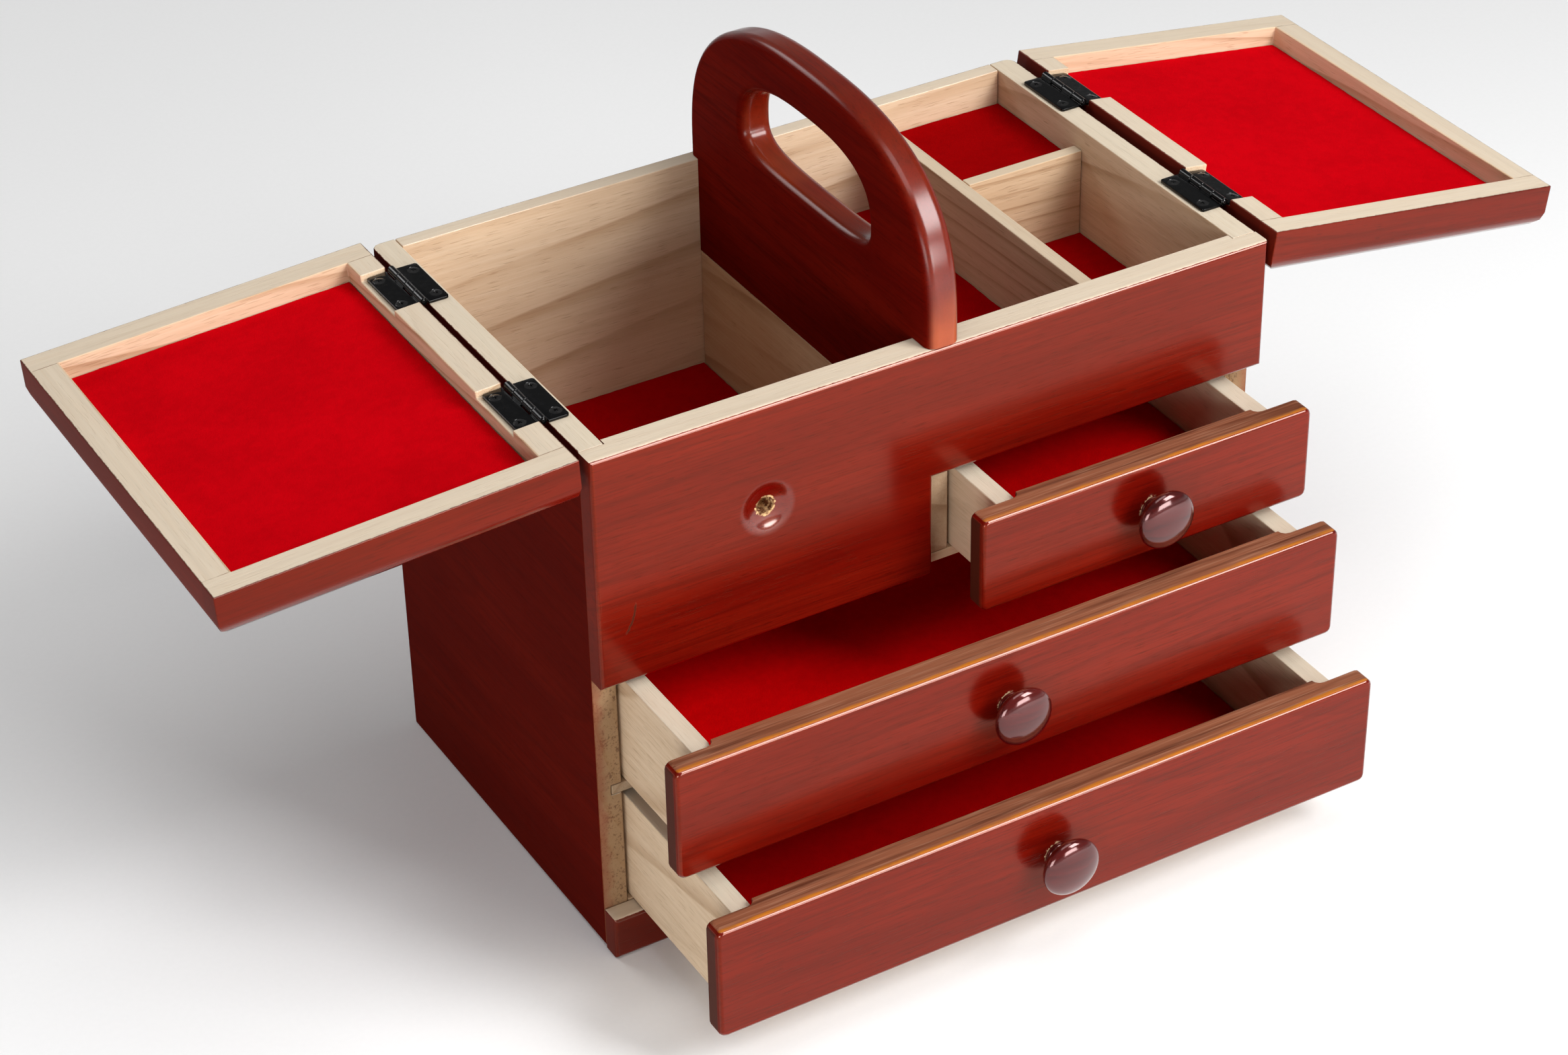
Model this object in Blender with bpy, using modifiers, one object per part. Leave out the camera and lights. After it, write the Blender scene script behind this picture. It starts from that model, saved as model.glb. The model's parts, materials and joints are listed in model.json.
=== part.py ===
"""A wooden sewing box: two hinged lids, a centre carrying handle, fixed trays and three drawers.

Units are metres. +X runs to the right along the box, -Y is the front and +Z is up. The origin is the
centre of the footprint, on the surface that the box stands on. At rest both lids are folded open and
the three drawers are pulled part of the way out.
"""

import math

import bmesh
import bpy
from mathutils import Vector

MM = 0.001
TOUCH = 1e-6  # how near a vertex is to a plane that it lies in
GAP = 0.3 * MM  # clearance between neighbouring pieces
OVERRUN = 15 * MM  # how far a cutter runs past the wood
AXES = {"x": 0, "y": 1, "z": 2}

# Carcass
LENGTH = 300 * MM
DEPTH = 184 * MM
RIM_Z = 232.6 * MM
SIDE_THICK = 10.5 * MM
BACK_THICK = 7 * MM
FRONT_THICK = 12 * MM
LIP_THICK = 8.7 * MM  # a front where it laps over the front edges of the sides
BASE_THICK = 5 * MM
RAIL_TOP = 19.5 * MM
SIDE_BACK_ROUND = 4 * MM
SIDE_FOOT_ROUND = 2.5 * MM
FRONT_ROUND = 1.8 * MM
FRONT_CORNER_ROUND = 3 * MM  # the four corners of a drawer front, seen from the front

X_OUT = LENGTH / 2
X_IN = X_OUT - SIDE_THICK
X_FIT = X_IN - GAP
Y_FRONT = -DEPTH / 2
Y_BACK = DEPTH / 2
Y_EDGE = Y_FRONT + LIP_THICK + GAP  # front edges of the sides, floors and runners
Y_FIT_FRONT = Y_FRONT + FRONT_THICK + GAP
Y_FIT_BACK = Y_BACK - BACK_THICK - GAP

# Upper front panel, with the notch for the small drawer
PANEL_BOTTOM = 130.8 * MM
NOTCH_TOP = 175.8 * MM
NOTCH_LEFT = -4.3 * MM
DISH_X, DISH_Z = -77 * MM, 187.6 * MM  # where a fourth knob has come off
DISH_RADIUS = 10.3 * MM
DISH_DEPTH = 2.6 * MM
EMPTY_HOLE_RADIUS = 3.8 * MM
EMPTY_HOLE_DEPTH = 10 * MM

# Handle board and the partition that it stands on
HANDLE_LEFT = -6.5 * MM
HANDLE_RIGHT = 8 * MM
HANDLE_BOTTOM = 190.3 * MM
HANDLE_TOP = 310 * MM
HANDLE_SPRING_Z = 240 * MM  # where its straight edges turn into the arch
HANDLE_POWER = 2.6  # exponent of the arch's superellipse
HANDLE_ROUND = 4.5 * MM
SLOT_HALF = 47.5 * MM
SLOT_MIDDLE_Z = 265 * MM
SLOT_UP, SLOT_UP_POWER = 24 * MM, 2.7
SLOT_DOWN, SLOT_DOWN_POWER = 11 * MM, 3.5

# Floors, dividers and runners
FLOOR_BOTTOM, FLOOR_TOP = 129.3 * MM, 133.4 * MM
TRAY_BOTTOM, TRAY_TOP = 176 * MM, 182.6 * MM
DIVIDER_TOP = 223.5 * MM
LONG_DIVIDER_X, LONG_DIVIDER_THICK = 78 * MM, 6 * MM
CROSS_DIVIDER_Y, CROSS_DIVIDER_THICK = 21.5 * MM, 5.5 * MM
SHELF_BOTTOM, SHELF_TOP = 211.5 * MM, 214.6 * MM
RUNNER_WIDTH = 10 * MM
RUNNER_BOTTOM, RUNNER_TOP = 73.4 * MM, 77.7 * MM
RUNNER_LET_IN = 4.2 * MM
LOW_RUNNER_TOP = 20 * MM
FELT_ON_CARD = 2.4 * MM
FELT = 1.2 * MM

# Drawers: the left end of the front, its bottom and top, the sides' bottom and top, how far it
# stands out, and the knob's X
DRAWERS = {
    "small": (-3.5 * MM, 132.3 * MM, 173.8 * MM, FLOOR_TOP + GAP, 171 * MM, 34 * MM, 74.8 * MM),
    "middle": (-X_OUT, 78.9 * MM, 129 * MM, RUNNER_TOP + GAP, 127.2 * MM, 56.3 * MM, -4.7 * MM),
    "bottom": (-X_OUT, 22.3 * MM, 73.1 * MM, LOW_RUNNER_TOP + GAP, 70 * MM, 84 * MM, 0.0),
}
DRAWER_SIDE = 8.5 * MM
DRAWER_PLAY = 2 * MM  # between a drawer's side and the carcass
DRAWER_END_Y = 80 * MM
DRAWER_BACK_THICK = 7 * MM
DRAWER_BOTTOM_UP = 3 * MM  # the bottom board above the lower edge of the sides
DRAWER_BOTTOM_THICK = 3 * MM
COVE = 3.5 * MM  # rounded inner corner of the rebate at each end of a front

# Knobs
KNOB_RADIUS = 12.5 * MM
KNOB_WIDEST = 9.4 * MM  # its widest plane, above the face that it stands on
KNOB_DOME = 4.6 * MM
KNOB_UNDERSIDE = 4.4 * MM
KNOB_NECK = 4.6 * MM
KNOB_FOOT = 5.6 * MM
KNOB_FLARE_TOP, KNOB_FLARE_BOTTOM = 2.5 * MM, 1.2 * MM  # where the neck widens into the foot
KNOB_DOME_STEPS, KNOB_UNDERSIDE_STEPS = 6, 4
KNOB_SIDES = 24
TENON_RADIUS = 3.5 * MM
TENON_LENGTH = 8.5 * MM

# Hinges and lids, measured from the pin: "out" is away from the box, "up" is +Z
PIN_OUT = 1.9 * MM  # the pin beyond the side of the box
PIN_UP = 1.6 * MM  # the pin above the rim
HINGE_YS = (54 * MM, -45.5 * MM)
HINGE_LENGTH = 29.5 * MM
HINGE_ROUND_SIDES = 16
KNUCKLES = 4
KNUCKLE_RADIUS = 1.6 * MM
KNUCKLE_BORE = 1.1 * MM
PIN_RADIUS = 0.9 * MM
LEAF_REACH = 10.8 * MM
LEAF_CLEAR = 2.1 * MM
LEAF_UNDER, LEAF_OVER = -1.3 * MM, -0.3 * MM
TAB_INSET = 0.1 * MM  # keeps a knuckle tab's faces off the plate's and the barrel's
TAB_OVERLAP = 0.3 * MM
LID_OUT = 1.9 * MM
LID_UP = 1.3 * MM
LID_THICK = 19 * MM
LID_ROUND = 7 * MM
LID_RAIL = 11 * MM
LID_END_RAIL = 11.6 * MM
LID_PANEL_THICK = 9.5 * MM
MORTISE_DEPTH = 2.9 * MM
MORTISE_CLEAR = 0.5 * MM
LIDS = {"left": (-1, 142.7 * MM, 2.95), "right": (1, 141.2 * MM, 8.42)}  # side, length, droop


# ---------------------------------------------------------------- materials and collections


def material(name, colour, roughness, metallic=0.0):
    made = bpy.data.materials.new(name)
    made.use_nodes = True
    shader = made.node_tree.nodes["Principled BSDF"]
    shader.inputs["Base Color"].default_value = (*colour, 1.0)
    shader.inputs["Roughness"].default_value = roughness
    shader.inputs["Metallic"].default_value = metallic
    return made


def collection(name):
    made = bpy.data.collections.new(name)
    bpy.context.scene.collection.children.link(made)
    return made


# ---------------------------------------------------------------- shapes


def add(name, bm, parent=None, location=(0, 0, 0), rotation=(0, 0, 0), look=None):
    """An object from a bmesh. With no material it is a cutter or a helper."""
    mesh = bpy.data.meshes.new(name)
    bm.to_mesh(mesh)
    bm.free()
    made = bpy.data.objects.new(name, mesh)
    made.location = location
    made.rotation_euler = rotation
    made.parent = parent
    (CUTTERS if look is None else PARTS).objects.link(made)
    if look is None:
        made.hide_render = True
        made.display_type = "WIRE"
    else:
        mesh.materials.append(look)
        mesh.shade_smooth()
        mesh.set_sharp_from_angle(angle=math.radians(35))
    return made


def round_over(bm, centre, planes, radius, segments=3):
    """Rounds the edges that lie in all the given planes, such as {"x": 0.15, "y": 0.092}."""

    def inside(edge):
        return all(
            abs(vert.co[AXES[axis]] + centre[AXES[axis]] - at) < TOUCH
            for vert in edge.verts
            for axis, at in planes.items()
        )

    edges = [edge for edge in bm.edges if inside(edge)]
    bmesh.ops.bevel(bm, geom=edges, offset=radius, segments=segments, profile=0.5, affect="EDGES")


def box(name, corner, other, look=None, parent=None, rounded=()):
    """A box between two opposite corners, with its origin at its centre."""
    low = Vector(map(min, corner, other))
    high = Vector(map(max, corner, other))
    centre = (low + high) / 2
    bm = bmesh.new()
    bmesh.ops.create_cube(bm, size=1.0)
    bmesh.ops.scale(bm, vec=high - low, verts=bm.verts)
    for planes, radius in rounded:
        round_over(bm, centre, planes, radius)
    return add(name, bm, parent, centre, look=look)


def rod(name, centre, radius, length, sides, look=None, parent=None):
    """A cylinder along Y."""
    bm = bmesh.new()
    bmesh.ops.create_cone(
        bm, cap_ends=True, segments=sides, radius1=radius, radius2=radius, depth=length
    )
    return add(name, bm, parent, centre, (math.pi / 2, 0, 0), look)


def outline_solid(name, outlines, thickness, rotation, location, look, edge_round=0.0):
    """A flat outline of one or more closed loops, filled and given a thickness about its plane."""
    curve = bpy.data.curves.new(name, "CURVE")
    curve.dimensions = "2D"
    curve.fill_mode = "BOTH"
    curve.extrude = thickness / 2 - edge_round
    curve.bevel_depth = edge_round
    curve.bevel_resolution = 2
    curve.offset = -edge_round
    for outline in outlines:
        spline = curve.splines.new("POLY")
        spline.points.add(len(outline) - 1)
        for point, (x, y) in zip(spline.points, outline):
            point.co = (x, y, 0, 1)
        spline.use_cyclic_u = True
    drawn = bpy.data.objects.new(name, curve)
    PARTS.objects.link(drawn)
    graph = bpy.context.evaluated_depsgraph_get()
    bm = bmesh.new()
    bm.from_mesh(bpy.data.meshes.new_from_object(drawn.evaluated_get(graph)))
    bpy.data.objects.remove(drawn)
    bmesh.ops.remove_doubles(bm, verts=bm.verts, dist=TOUCH)
    bmesh.ops.dissolve_limit(
        bm, angle_limit=math.radians(0.5), verts=bm.verts, edges=bm.edges
    )
    return add(name, bm, None, location, rotation, look)


def change(target, operation, tools):
    """Cuts the tools from the target, or joins them to it."""
    for tool in tools:
        modifier = target.modifiers.new(tool.name, "BOOLEAN")
        modifier.operation = operation
        modifier.solver = "EXACT"
        modifier.object = tool


def cut(target, *tools):
    change(target, "DIFFERENCE", tools)


def join(target, *tools):
    change(target, "UNION", tools)


def turned(name, profile, steps, look, parent, location, rotation):
    """A solid of revolution about its own Z, from (radius, height) points, top to bottom."""
    bm = bmesh.new()
    verts = [bm.verts.new((radius, 0, height)) for radius, height in profile]
    for upper, lower in zip(verts, verts[1:]):
        bm.edges.new((upper, lower))
    made = add(name, bm, parent, location, rotation, look)
    screw = made.modifiers.new("turn", "SCREW")
    screw.steps = steps
    screw.render_steps = steps
    screw.use_merge_vertices = True
    screw.merge_threshold = 0.00001
    screw.use_smooth_shade = True
    return made


def arch(half_width, height, power, points, start=0.0, end=math.pi):
    """Points along half of a superellipse, from +X over the top to -X."""
    made = []
    for index in range(points):
        angle = start + (end - start) * index / (points - 1)
        across, up = math.cos(angle), math.sin(angle)
        made.append(
            (
                half_width * math.copysign(abs(across) ** (2 / power), across),
                height * abs(up) ** (2 / power),
            )
        )
    return made


def empty(name, location, rotation=(0, 0, 0)):
    made = bpy.data.objects.new(name, None)
    made.location = location
    made.rotation_euler = rotation
    PARTS.objects.link(made)
    return made


# ---------------------------------------------------------------- carcass


def make_shell():
    box(
        "base_board", (-X_FIT, Y_EDGE, 0), (X_FIT, Y_FIT_BACK, BASE_THICK), RAW_WOOD
    )
    box(
        "bottom_rail",
        (-X_OUT, Y_FRONT, 0),
        (X_OUT, Y_FRONT + LIP_THICK, RAIL_TOP),
        LACQUER,
        rounded=[({"y": Y_FRONT}, FRONT_ROUND)],
    )
    box(
        "back_panel",
        (-X_FIT, Y_BACK - BACK_THICK, 0),
        (X_FIT, Y_BACK, RIM_Z),
        LACQUER,
        rounded=[({"y": Y_BACK, "z": 0}, FRONT_ROUND)],
    )
    for name, side in (("side_left", -1), ("side_right", 1)):
        panel = box(
            name,
            (side * X_OUT, Y_EDGE, 0),
            (side * X_IN, Y_BACK, RIM_Z),
            LACQUER,
            rounded=[
                ({"x": side * X_OUT, "y": Y_BACK}, SIDE_BACK_ROUND),
                ({"x": side * X_OUT, "z": 0}, SIDE_FOOT_ROUND),
            ],
        )
        dado = box(
            name + "_dado",
            (side * (X_IN - RUNNER_WIDTH), Y_EDGE - RUNNER_WIDTH, RUNNER_BOTTOM - GAP),
            (side * (X_IN + RUNNER_LET_IN + GAP), Y_FIT_BACK, RUNNER_TOP + GAP),
        )
        cut(panel, dado)


def make_front_panel():
    corners = (
        (-X_OUT, PANEL_BOTTOM),
        (NOTCH_LEFT, PANEL_BOTTOM),
        (NOTCH_LEFT, NOTCH_TOP),
        (X_OUT, NOTCH_TOP),
        (X_OUT, RIM_Z),
        (-X_OUT, RIM_Z),
    )
    panel = outline_solid(
        "front_panel",
        [corners],
        FRONT_THICK,
        (math.pi / 2, 0, 0),
        (0, Y_FRONT + FRONT_THICK / 2, 0),
        LACQUER,
    )
    bm = bmesh.new()
    bm.from_mesh(panel.data)
    round_over(bm, (0, 0, 0), {"z": FRONT_THICK / 2}, FRONT_ROUND)
    bm.to_mesh(panel.data)
    bm.free()

    for side in (-1, 1):
        rebate = box(
            f"front_rebate_{side}",
            (side * X_FIT, Y_FRONT + LIP_THICK, PANEL_BOTTOM - OVERRUN),
            (side * (X_OUT + OVERRUN), Y_FIT_FRONT + OVERRUN, RIM_Z + OVERRUN),
        )
        cut(panel, rebate)

    # The dish is the cap of a sphere whose centre stands in front of the panel.
    sphere_radius = (DISH_RADIUS**2 + DISH_DEPTH**2) / (2 * DISH_DEPTH)
    bm = bmesh.new()
    bmesh.ops.create_uvsphere(bm, u_segments=48, v_segments=48, radius=sphere_radius)
    centre = (DISH_X, Y_FRONT + DISH_DEPTH - sphere_radius, DISH_Z)
    dish = add("dish", bm, location=centre, rotation=(math.pi / 2, 0, 0))
    hole_y = Y_FRONT + (EMPTY_HOLE_DEPTH - OVERRUN) / 2
    hole = rod(
        "empty_hole",
        (DISH_X, hole_y, DISH_Z),
        EMPTY_HOLE_RADIUS,
        EMPTY_HOLE_DEPTH + OVERRUN,
        20,
    )
    cut(panel, dish, hole)


def make_floors():
    floor = box(
        "main_floor", (-X_FIT, Y_EDGE, FLOOR_BOTTOM), (X_FIT, Y_FIT_BACK, FLOOR_TOP), RAW_WOOD
    )
    behind_panel = box(
        "floor_step",
        (-X_OUT, Y_EDGE - OVERRUN, FLOOR_BOTTOM - OVERRUN),
        (NOTCH_LEFT + GAP, Y_FIT_FRONT, FLOOR_TOP + OVERRUN),
    )
    cut(floor, behind_panel)

    partition = box(
        "partition_panel",
        (HANDLE_LEFT, Y_EDGE, FLOOR_TOP + GAP),
        (HANDLE_RIGHT, Y_FIT_BACK, HANDLE_BOTTOM - GAP),
        RAW_WOOD,
    )
    beside = box(
        "partition_step",
        (HANDLE_LEFT - OVERRUN, Y_EDGE - OVERRUN, FLOOR_BOTTOM),
        (NOTCH_LEFT + GAP, Y_FIT_FRONT, RIM_Z),
    )
    above = box(
        "partition_top_step",
        (HANDLE_LEFT - OVERRUN, Y_EDGE - OVERRUN, NOTCH_TOP - GAP),
        (HANDLE_RIGHT + OVERRUN, Y_FIT_FRONT, RIM_Z),
    )
    cut(partition, beside, above)

    tray_left = HANDLE_RIGHT + GAP
    box(
        "tray_floor", (tray_left, Y_FIT_FRONT, TRAY_BOTTOM), (X_FIT, Y_FIT_BACK, TRAY_TOP), RAW_WOOD
    )
    standing = TRAY_TOP + GAP
    divider_right = LONG_DIVIDER_X + LONG_DIVIDER_THICK
    box(
        "long_divider",
        (LONG_DIVIDER_X, Y_FIT_FRONT, standing),
        (divider_right, Y_FIT_BACK, DIVIDER_TOP),
        RAW_WOOD,
    )
    cell_left = divider_right + GAP
    cross_back = CROSS_DIVIDER_Y + CROSS_DIVIDER_THICK
    box(
        "cross_divider",
        (cell_left, CROSS_DIVIDER_Y, standing),
        (X_FIT, cross_back, DIVIDER_TOP),
        RAW_WOOD,
    )
    shelf_front = cross_back + GAP
    box(
        "raised_shelf",
        (cell_left, shelf_front, SHELF_BOTTOM),
        (X_FIT, Y_FIT_BACK, SHELF_TOP),
        RAW_WOOD,
    )

    felts = {
        "felt_left": ((-X_FIT, Y_FIT_FRONT), (HANDLE_LEFT - GAP, Y_FIT_BACK), FLOOR_TOP),
        "felt_middle": ((tray_left, Y_FIT_FRONT), (LONG_DIVIDER_X - GAP, Y_FIT_BACK), TRAY_TOP),
        "felt_cell": ((cell_left, Y_FIT_FRONT), (X_FIT, CROSS_DIVIDER_Y - GAP), TRAY_TOP),
        "felt_shelf": ((cell_left, shelf_front), (X_FIT, Y_FIT_BACK), SHELF_TOP),
    }
    for name, ((left, front), (right, back), under) in felts.items():
        low = (left, front, under + GAP)
        box(name, low, (right, back, under + GAP + FELT_ON_CARD), FELT_RED)


def make_runners():
    for word, side in (("left", -1), ("right", 1)):
        box(
            f"drawer_runner_{word}",
            (side * (X_IN + RUNNER_LET_IN), Y_EDGE, RUNNER_BOTTOM),
            (side * (X_IN - RUNNER_WIDTH), Y_FIT_BACK - GAP, RUNNER_TOP),
            RAW_WOOD,
        )
        box(
            f"base_runner_{word}",
            (side * X_FIT, Y_EDGE, BASE_THICK + GAP),
            (side * (X_IN - RUNNER_WIDTH), Y_FIT_BACK, LOW_RUNNER_TOP),
            RAW_WOOD,
        )


def make_handle():
    foot = RIM_Z - 2 * HANDLE_ROUND
    rise = HANDLE_TOP - HANDLE_SPRING_Z
    outer = [
        (across, HANDLE_SPRING_Z + up) for across, up in arch(Y_BACK, rise, HANDLE_POWER, 41)
    ]
    outer += [(Y_FRONT, foot), (Y_BACK, foot)]
    slot = [
        (across, SLOT_MIDDLE_Z + up)
        for across, up in arch(SLOT_HALF, SLOT_UP, SLOT_UP_POWER, 21)
    ]
    slot += [
        (-across, SLOT_MIDDLE_Z - up)
        for across, up in arch(SLOT_HALF, SLOT_DOWN, SLOT_DOWN_POWER, 21)[1:-1]
    ]
    thickness = HANDLE_RIGHT - HANDLE_LEFT
    board = outline_solid(
        "handle_board",
        [outer, slot],
        thickness,
        (math.pi / 2, 0, math.pi / 2),
        ((HANDLE_LEFT + HANDLE_RIGHT) / 2, 0, 0),
        LACQUER,
        HANDLE_ROUND,
    )
    tongue = box(
        "handle_tongue",
        (HANDLE_LEFT, Y_FIT_FRONT, HANDLE_BOTTOM),
        (HANDLE_RIGHT, Y_FIT_BACK, RIM_Z - HANDLE_ROUND / 2),
    )
    join(board, tongue)
    for name, inner, outer_y in (
        ("front_shoulder", Y_FIT_FRONT, Y_FRONT - OVERRUN),
        ("back_shoulder", Y_FIT_BACK, Y_BACK + OVERRUN),
    ):
        shoulder = box(
            name,
            (HANDLE_LEFT - OVERRUN, inner, HANDLE_BOTTOM - OVERRUN),
            (HANDLE_RIGHT + OVERRUN, outer_y, RIM_Z + GAP),
        )
        cut(board, shoulder)


# ---------------------------------------------------------------- drawers


def knob_profile():
    """(radius, height) points from the top of the dome to the end of the tenon."""
    points = [(0, KNOB_WIDEST + KNOB_DOME)]
    for index in range(1, KNOB_DOME_STEPS + 1):
        angle = math.pi / 2 * index / KNOB_DOME_STEPS
        points.append((KNOB_RADIUS * math.sin(angle), KNOB_WIDEST + KNOB_DOME * math.cos(angle)))
    for index in range(1, KNOB_UNDERSIDE_STEPS + 1):
        angle = math.pi / 2 * index / KNOB_UNDERSIDE_STEPS
        reach = KNOB_NECK + (KNOB_RADIUS - KNOB_NECK) * math.cos(angle)
        points.append((reach, KNOB_WIDEST - KNOB_UNDERSIDE * math.sin(angle)))
    points.append((KNOB_NECK, KNOB_FLARE_TOP))
    points.append((KNOB_FOOT, KNOB_FLARE_BOTTOM))
    points.append((KNOB_FOOT, GAP))
    points.append((TENON_RADIUS, GAP))
    points.append((TENON_RADIUS, -TENON_LENGTH))
    points.append((0, -TENON_LENGTH))
    return points


def make_drawer(word, left, bottom, top, side_bottom, side_top, stands_out, knob_x):
    slide = empty(f"{word}_drawer_slide", (0, -stands_out, 0))
    prefix = f"{word}_drawer"
    bay_left = HANDLE_RIGHT if word == "small" else -X_IN
    outer = (bay_left + DRAWER_PLAY, X_IN - DRAWER_PLAY)
    inner = (outer[0] + DRAWER_SIDE, outer[1] - DRAWER_SIDE)
    lip_back = Y_FRONT + LIP_THICK
    thick_back = Y_FRONT + FRONT_THICK

    front = box(
        f"{prefix}_front",
        (left, Y_FRONT, bottom),
        (X_OUT, thick_back, top),
        LACQUER,
        slide,
        rounded=[
            ({"x": left, "z": top}, FRONT_CORNER_ROUND),
            ({"x": left, "z": bottom}, FRONT_CORNER_ROUND),
            ({"x": X_OUT, "z": top}, FRONT_CORNER_ROUND),
            ({"x": X_OUT, "z": bottom}, FRONT_CORNER_ROUND),
            ({"y": Y_FRONT}, FRONT_ROUND),
        ],
    )
    for name, inside, outside in (
        ("left", inner[0], left - OVERRUN),
        ("right", inner[1], X_OUT + OVERRUN),
    ):
        toward = GAP if inside > outside else -GAP
        rebate = box(
            f"{prefix}_rebate_{name}",
            (inside + toward, lip_back, bottom - OVERRUN),
            (outside, thick_back + OVERRUN, top + OVERRUN),
            parent=slide,
            rounded=[({"x": inside + toward, "y": lip_back}, COVE)],
        )
        cut(front, rebate)
        board_x = (inside, outer[0] if name == "left" else outer[1])
        box(
            f"{prefix}_side_{name}",
            (board_x[0], lip_back + GAP, side_bottom),
            (board_x[1], DRAWER_END_Y, side_top),
            RAW_WOOD,
            slide,
            rounded=[({"x": inside, "y": lip_back + GAP}, COVE + GAP)],
        )

    if bottom < side_bottom:
        # The lower edge laps over the board that the drawer slides on.
        under = box(
            f"{prefix}_rebate_under",
            (left - OVERRUN, lip_back, bottom - OVERRUN),
            (X_OUT + OVERRUN, thick_back + OVERRUN, side_bottom),
            parent=slide,
        )
        cut(front, under)

    middle_z = (bottom + top) / 2
    hole = rod(
        f"{prefix}_knob_hole",
        (knob_x, Y_FRONT + (TENON_LENGTH + GAP - OVERRUN) / 2, middle_z),
        TENON_RADIUS + GAP,
        TENON_LENGTH + GAP + OVERRUN,
        KNOB_SIDES,
        parent=slide,
    )
    cut(front, hole)
    turned(
        f"{word}_knob",
        knob_profile(),
        KNOB_SIDES,
        DARK_LACQUER,
        slide,
        (knob_x, Y_FRONT, middle_z),
        (math.pi / 2, 0, 0),
    )

    left_x, right_x = inner[0] + GAP, inner[1] - GAP
    back_front = DRAWER_END_Y - DRAWER_BACK_THICK
    box(
        f"{prefix}_back",
        (left_x, back_front, side_bottom),
        (right_x, DRAWER_END_Y, side_top),
        RAW_WOOD,
        slide,
    )
    floor_z = side_bottom + DRAWER_BOTTOM_UP
    floor_top = floor_z + DRAWER_BOTTOM_THICK
    low = (left_x, thick_back + GAP, floor_z)
    box(f"{prefix}_bottom", low, (right_x, back_front - GAP, floor_top), RAW_WOOD, slide)
    low = (left_x, thick_back + GAP, floor_top + GAP)
    box(
        f"{prefix}_felt",
        low,
        (right_x, back_front - GAP, floor_top + GAP + FELT),
        FELT_RED,
        slide,
    )


# ---------------------------------------------------------------- lids and hinges


def make_leaf(name, parent, pin, direction, knuckles):
    """A hinge leaf that reaches from the pin along X in the given direction."""
    x, y, z = pin
    half = HINGE_LENGTH / 2
    leaf = box(
        name,
        (x + direction * LEAF_CLEAR, y - half, z + LEAF_UNDER),
        (x + direction * LEAF_REACH, y + half, z + LEAF_OVER),
        BLACK_STEEL,
        parent,
    )
    pitch = HINGE_LENGTH / KNUCKLES
    for index in knuckles:
        middle = y + half - pitch * (index + 0.5)
        reach = (pitch - GAP) / 2
        barrel = rod(
            f"{name}_barrel_{index}",
            (x, middle, z),
            KNUCKLE_RADIUS,
            2 * reach,
            HINGE_ROUND_SIDES,
            parent=parent,
        )
        tab = box(
            f"{name}_tab_{index}",
            (x + direction * PIN_RADIUS, middle - reach + TAB_INSET, z + LEAF_UNDER + TAB_INSET),
            (
                x + direction * (LEAF_CLEAR + TAB_OVERLAP),
                middle + reach - TAB_INSET,
                z + LEAF_OVER - TAB_INSET,
            ),
            parent=parent,
        )
        join(leaf, tab, barrel)
    bore = rod(
        f"{name}_bore", (x, y, z), KNUCKLE_BORE, 2 * HINGE_LENGTH, HINGE_ROUND_SIDES, parent=parent
    )
    cut(leaf, bore)


def make_lid(word, side, length, droop):
    pin_x, pin_z = side * (X_OUT + PIN_OUT), RIM_Z + PIN_UP
    turn = math.radians(droop) * side
    pivot = empty(f"{word}_lid_pivot", (pin_x, 0, pin_z), (0, turn, 0))
    inner, outer = side * LID_OUT, side * (LID_OUT + length)
    face = LID_UP - LID_THICK  # the side that is on top when the lid is shut

    frame = box(
        f"{word}_lid_frame",
        (inner, Y_FRONT, face),
        (outer, Y_BACK, LID_UP),
        LACQUER,
        pivot,
        rounded=[({"z": face}, LID_ROUND)],
    )
    window_in = inner + side * LID_RAIL
    window_out = outer - side * LID_END_RAIL
    window_y = Y_BACK - LID_RAIL
    window = box(
        f"{word}_lid_window",
        (window_in, -window_y, face - OVERRUN),
        (window_out, window_y, LID_UP + OVERRUN),
        parent=pivot,
    )
    cut(frame, window)
    fit = side * GAP
    low = (window_in + fit, -window_y + GAP, face)
    high = (window_out - fit, window_y - GAP, face + LID_PANEL_THICK)
    box(f"{word}_lid_panel", low, high, LACQUER, pivot)
    low = (window_in + fit, -window_y + GAP, face + LID_PANEL_THICK + GAP)
    high = (window_out - fit, window_y - GAP, face + LID_PANEL_THICK + GAP + FELT)
    box(f"{word}_lid_felt", low, high, FELT_RED, pivot)

    for place, hinge_y in zip(("back", "front"), HINGE_YS):
        half = HINGE_LENGTH / 2 + MORTISE_CLEAR
        mortise = box(
            f"{word}_mortise_{place}",
            (inner - side * OVERRUN, hinge_y - half, LID_UP - MORTISE_DEPTH),
            (window_in + side * LID_RAIL, hinge_y + half, LID_UP + OVERRUN),
            parent=pivot,
        )
        cut(frame, mortise)
        hinge = f"hinge_{word}_{place}"
        make_leaf(f"{hinge}_box_leaf", None, (pin_x, hinge_y, pin_z), -side, (0, 2))
        make_leaf(f"{hinge}_lid_leaf", pivot, (0, hinge_y, 0), side, (1, 3))
        rod(
            f"{hinge}_pin",
            (pin_x, hinge_y, pin_z),
            PIN_RADIUS,
            HINGE_LENGTH,
            HINGE_ROUND_SIDES,
            BLACK_STEEL,
        )


for old in list(bpy.data.objects):
    bpy.data.objects.remove(old)

PARTS = collection("sewing_box")
CUTTERS = collection("cutters")
LACQUER = material("red_brown_lacquer", (0.21, 0.03, 0.015), 0.2)
DARK_LACQUER = material("dark_lacquer", (0.05, 0.008, 0.006), 0.12)
RAW_WOOD = material("raw_wood", (0.62, 0.47, 0.31), 0.7)
FELT_RED = material("red_felt", (0.45, 0.003, 0.006), 0.95)
BLACK_STEEL = material("black_steel", (0.012, 0.012, 0.013), 0.35, 0.5)

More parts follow.
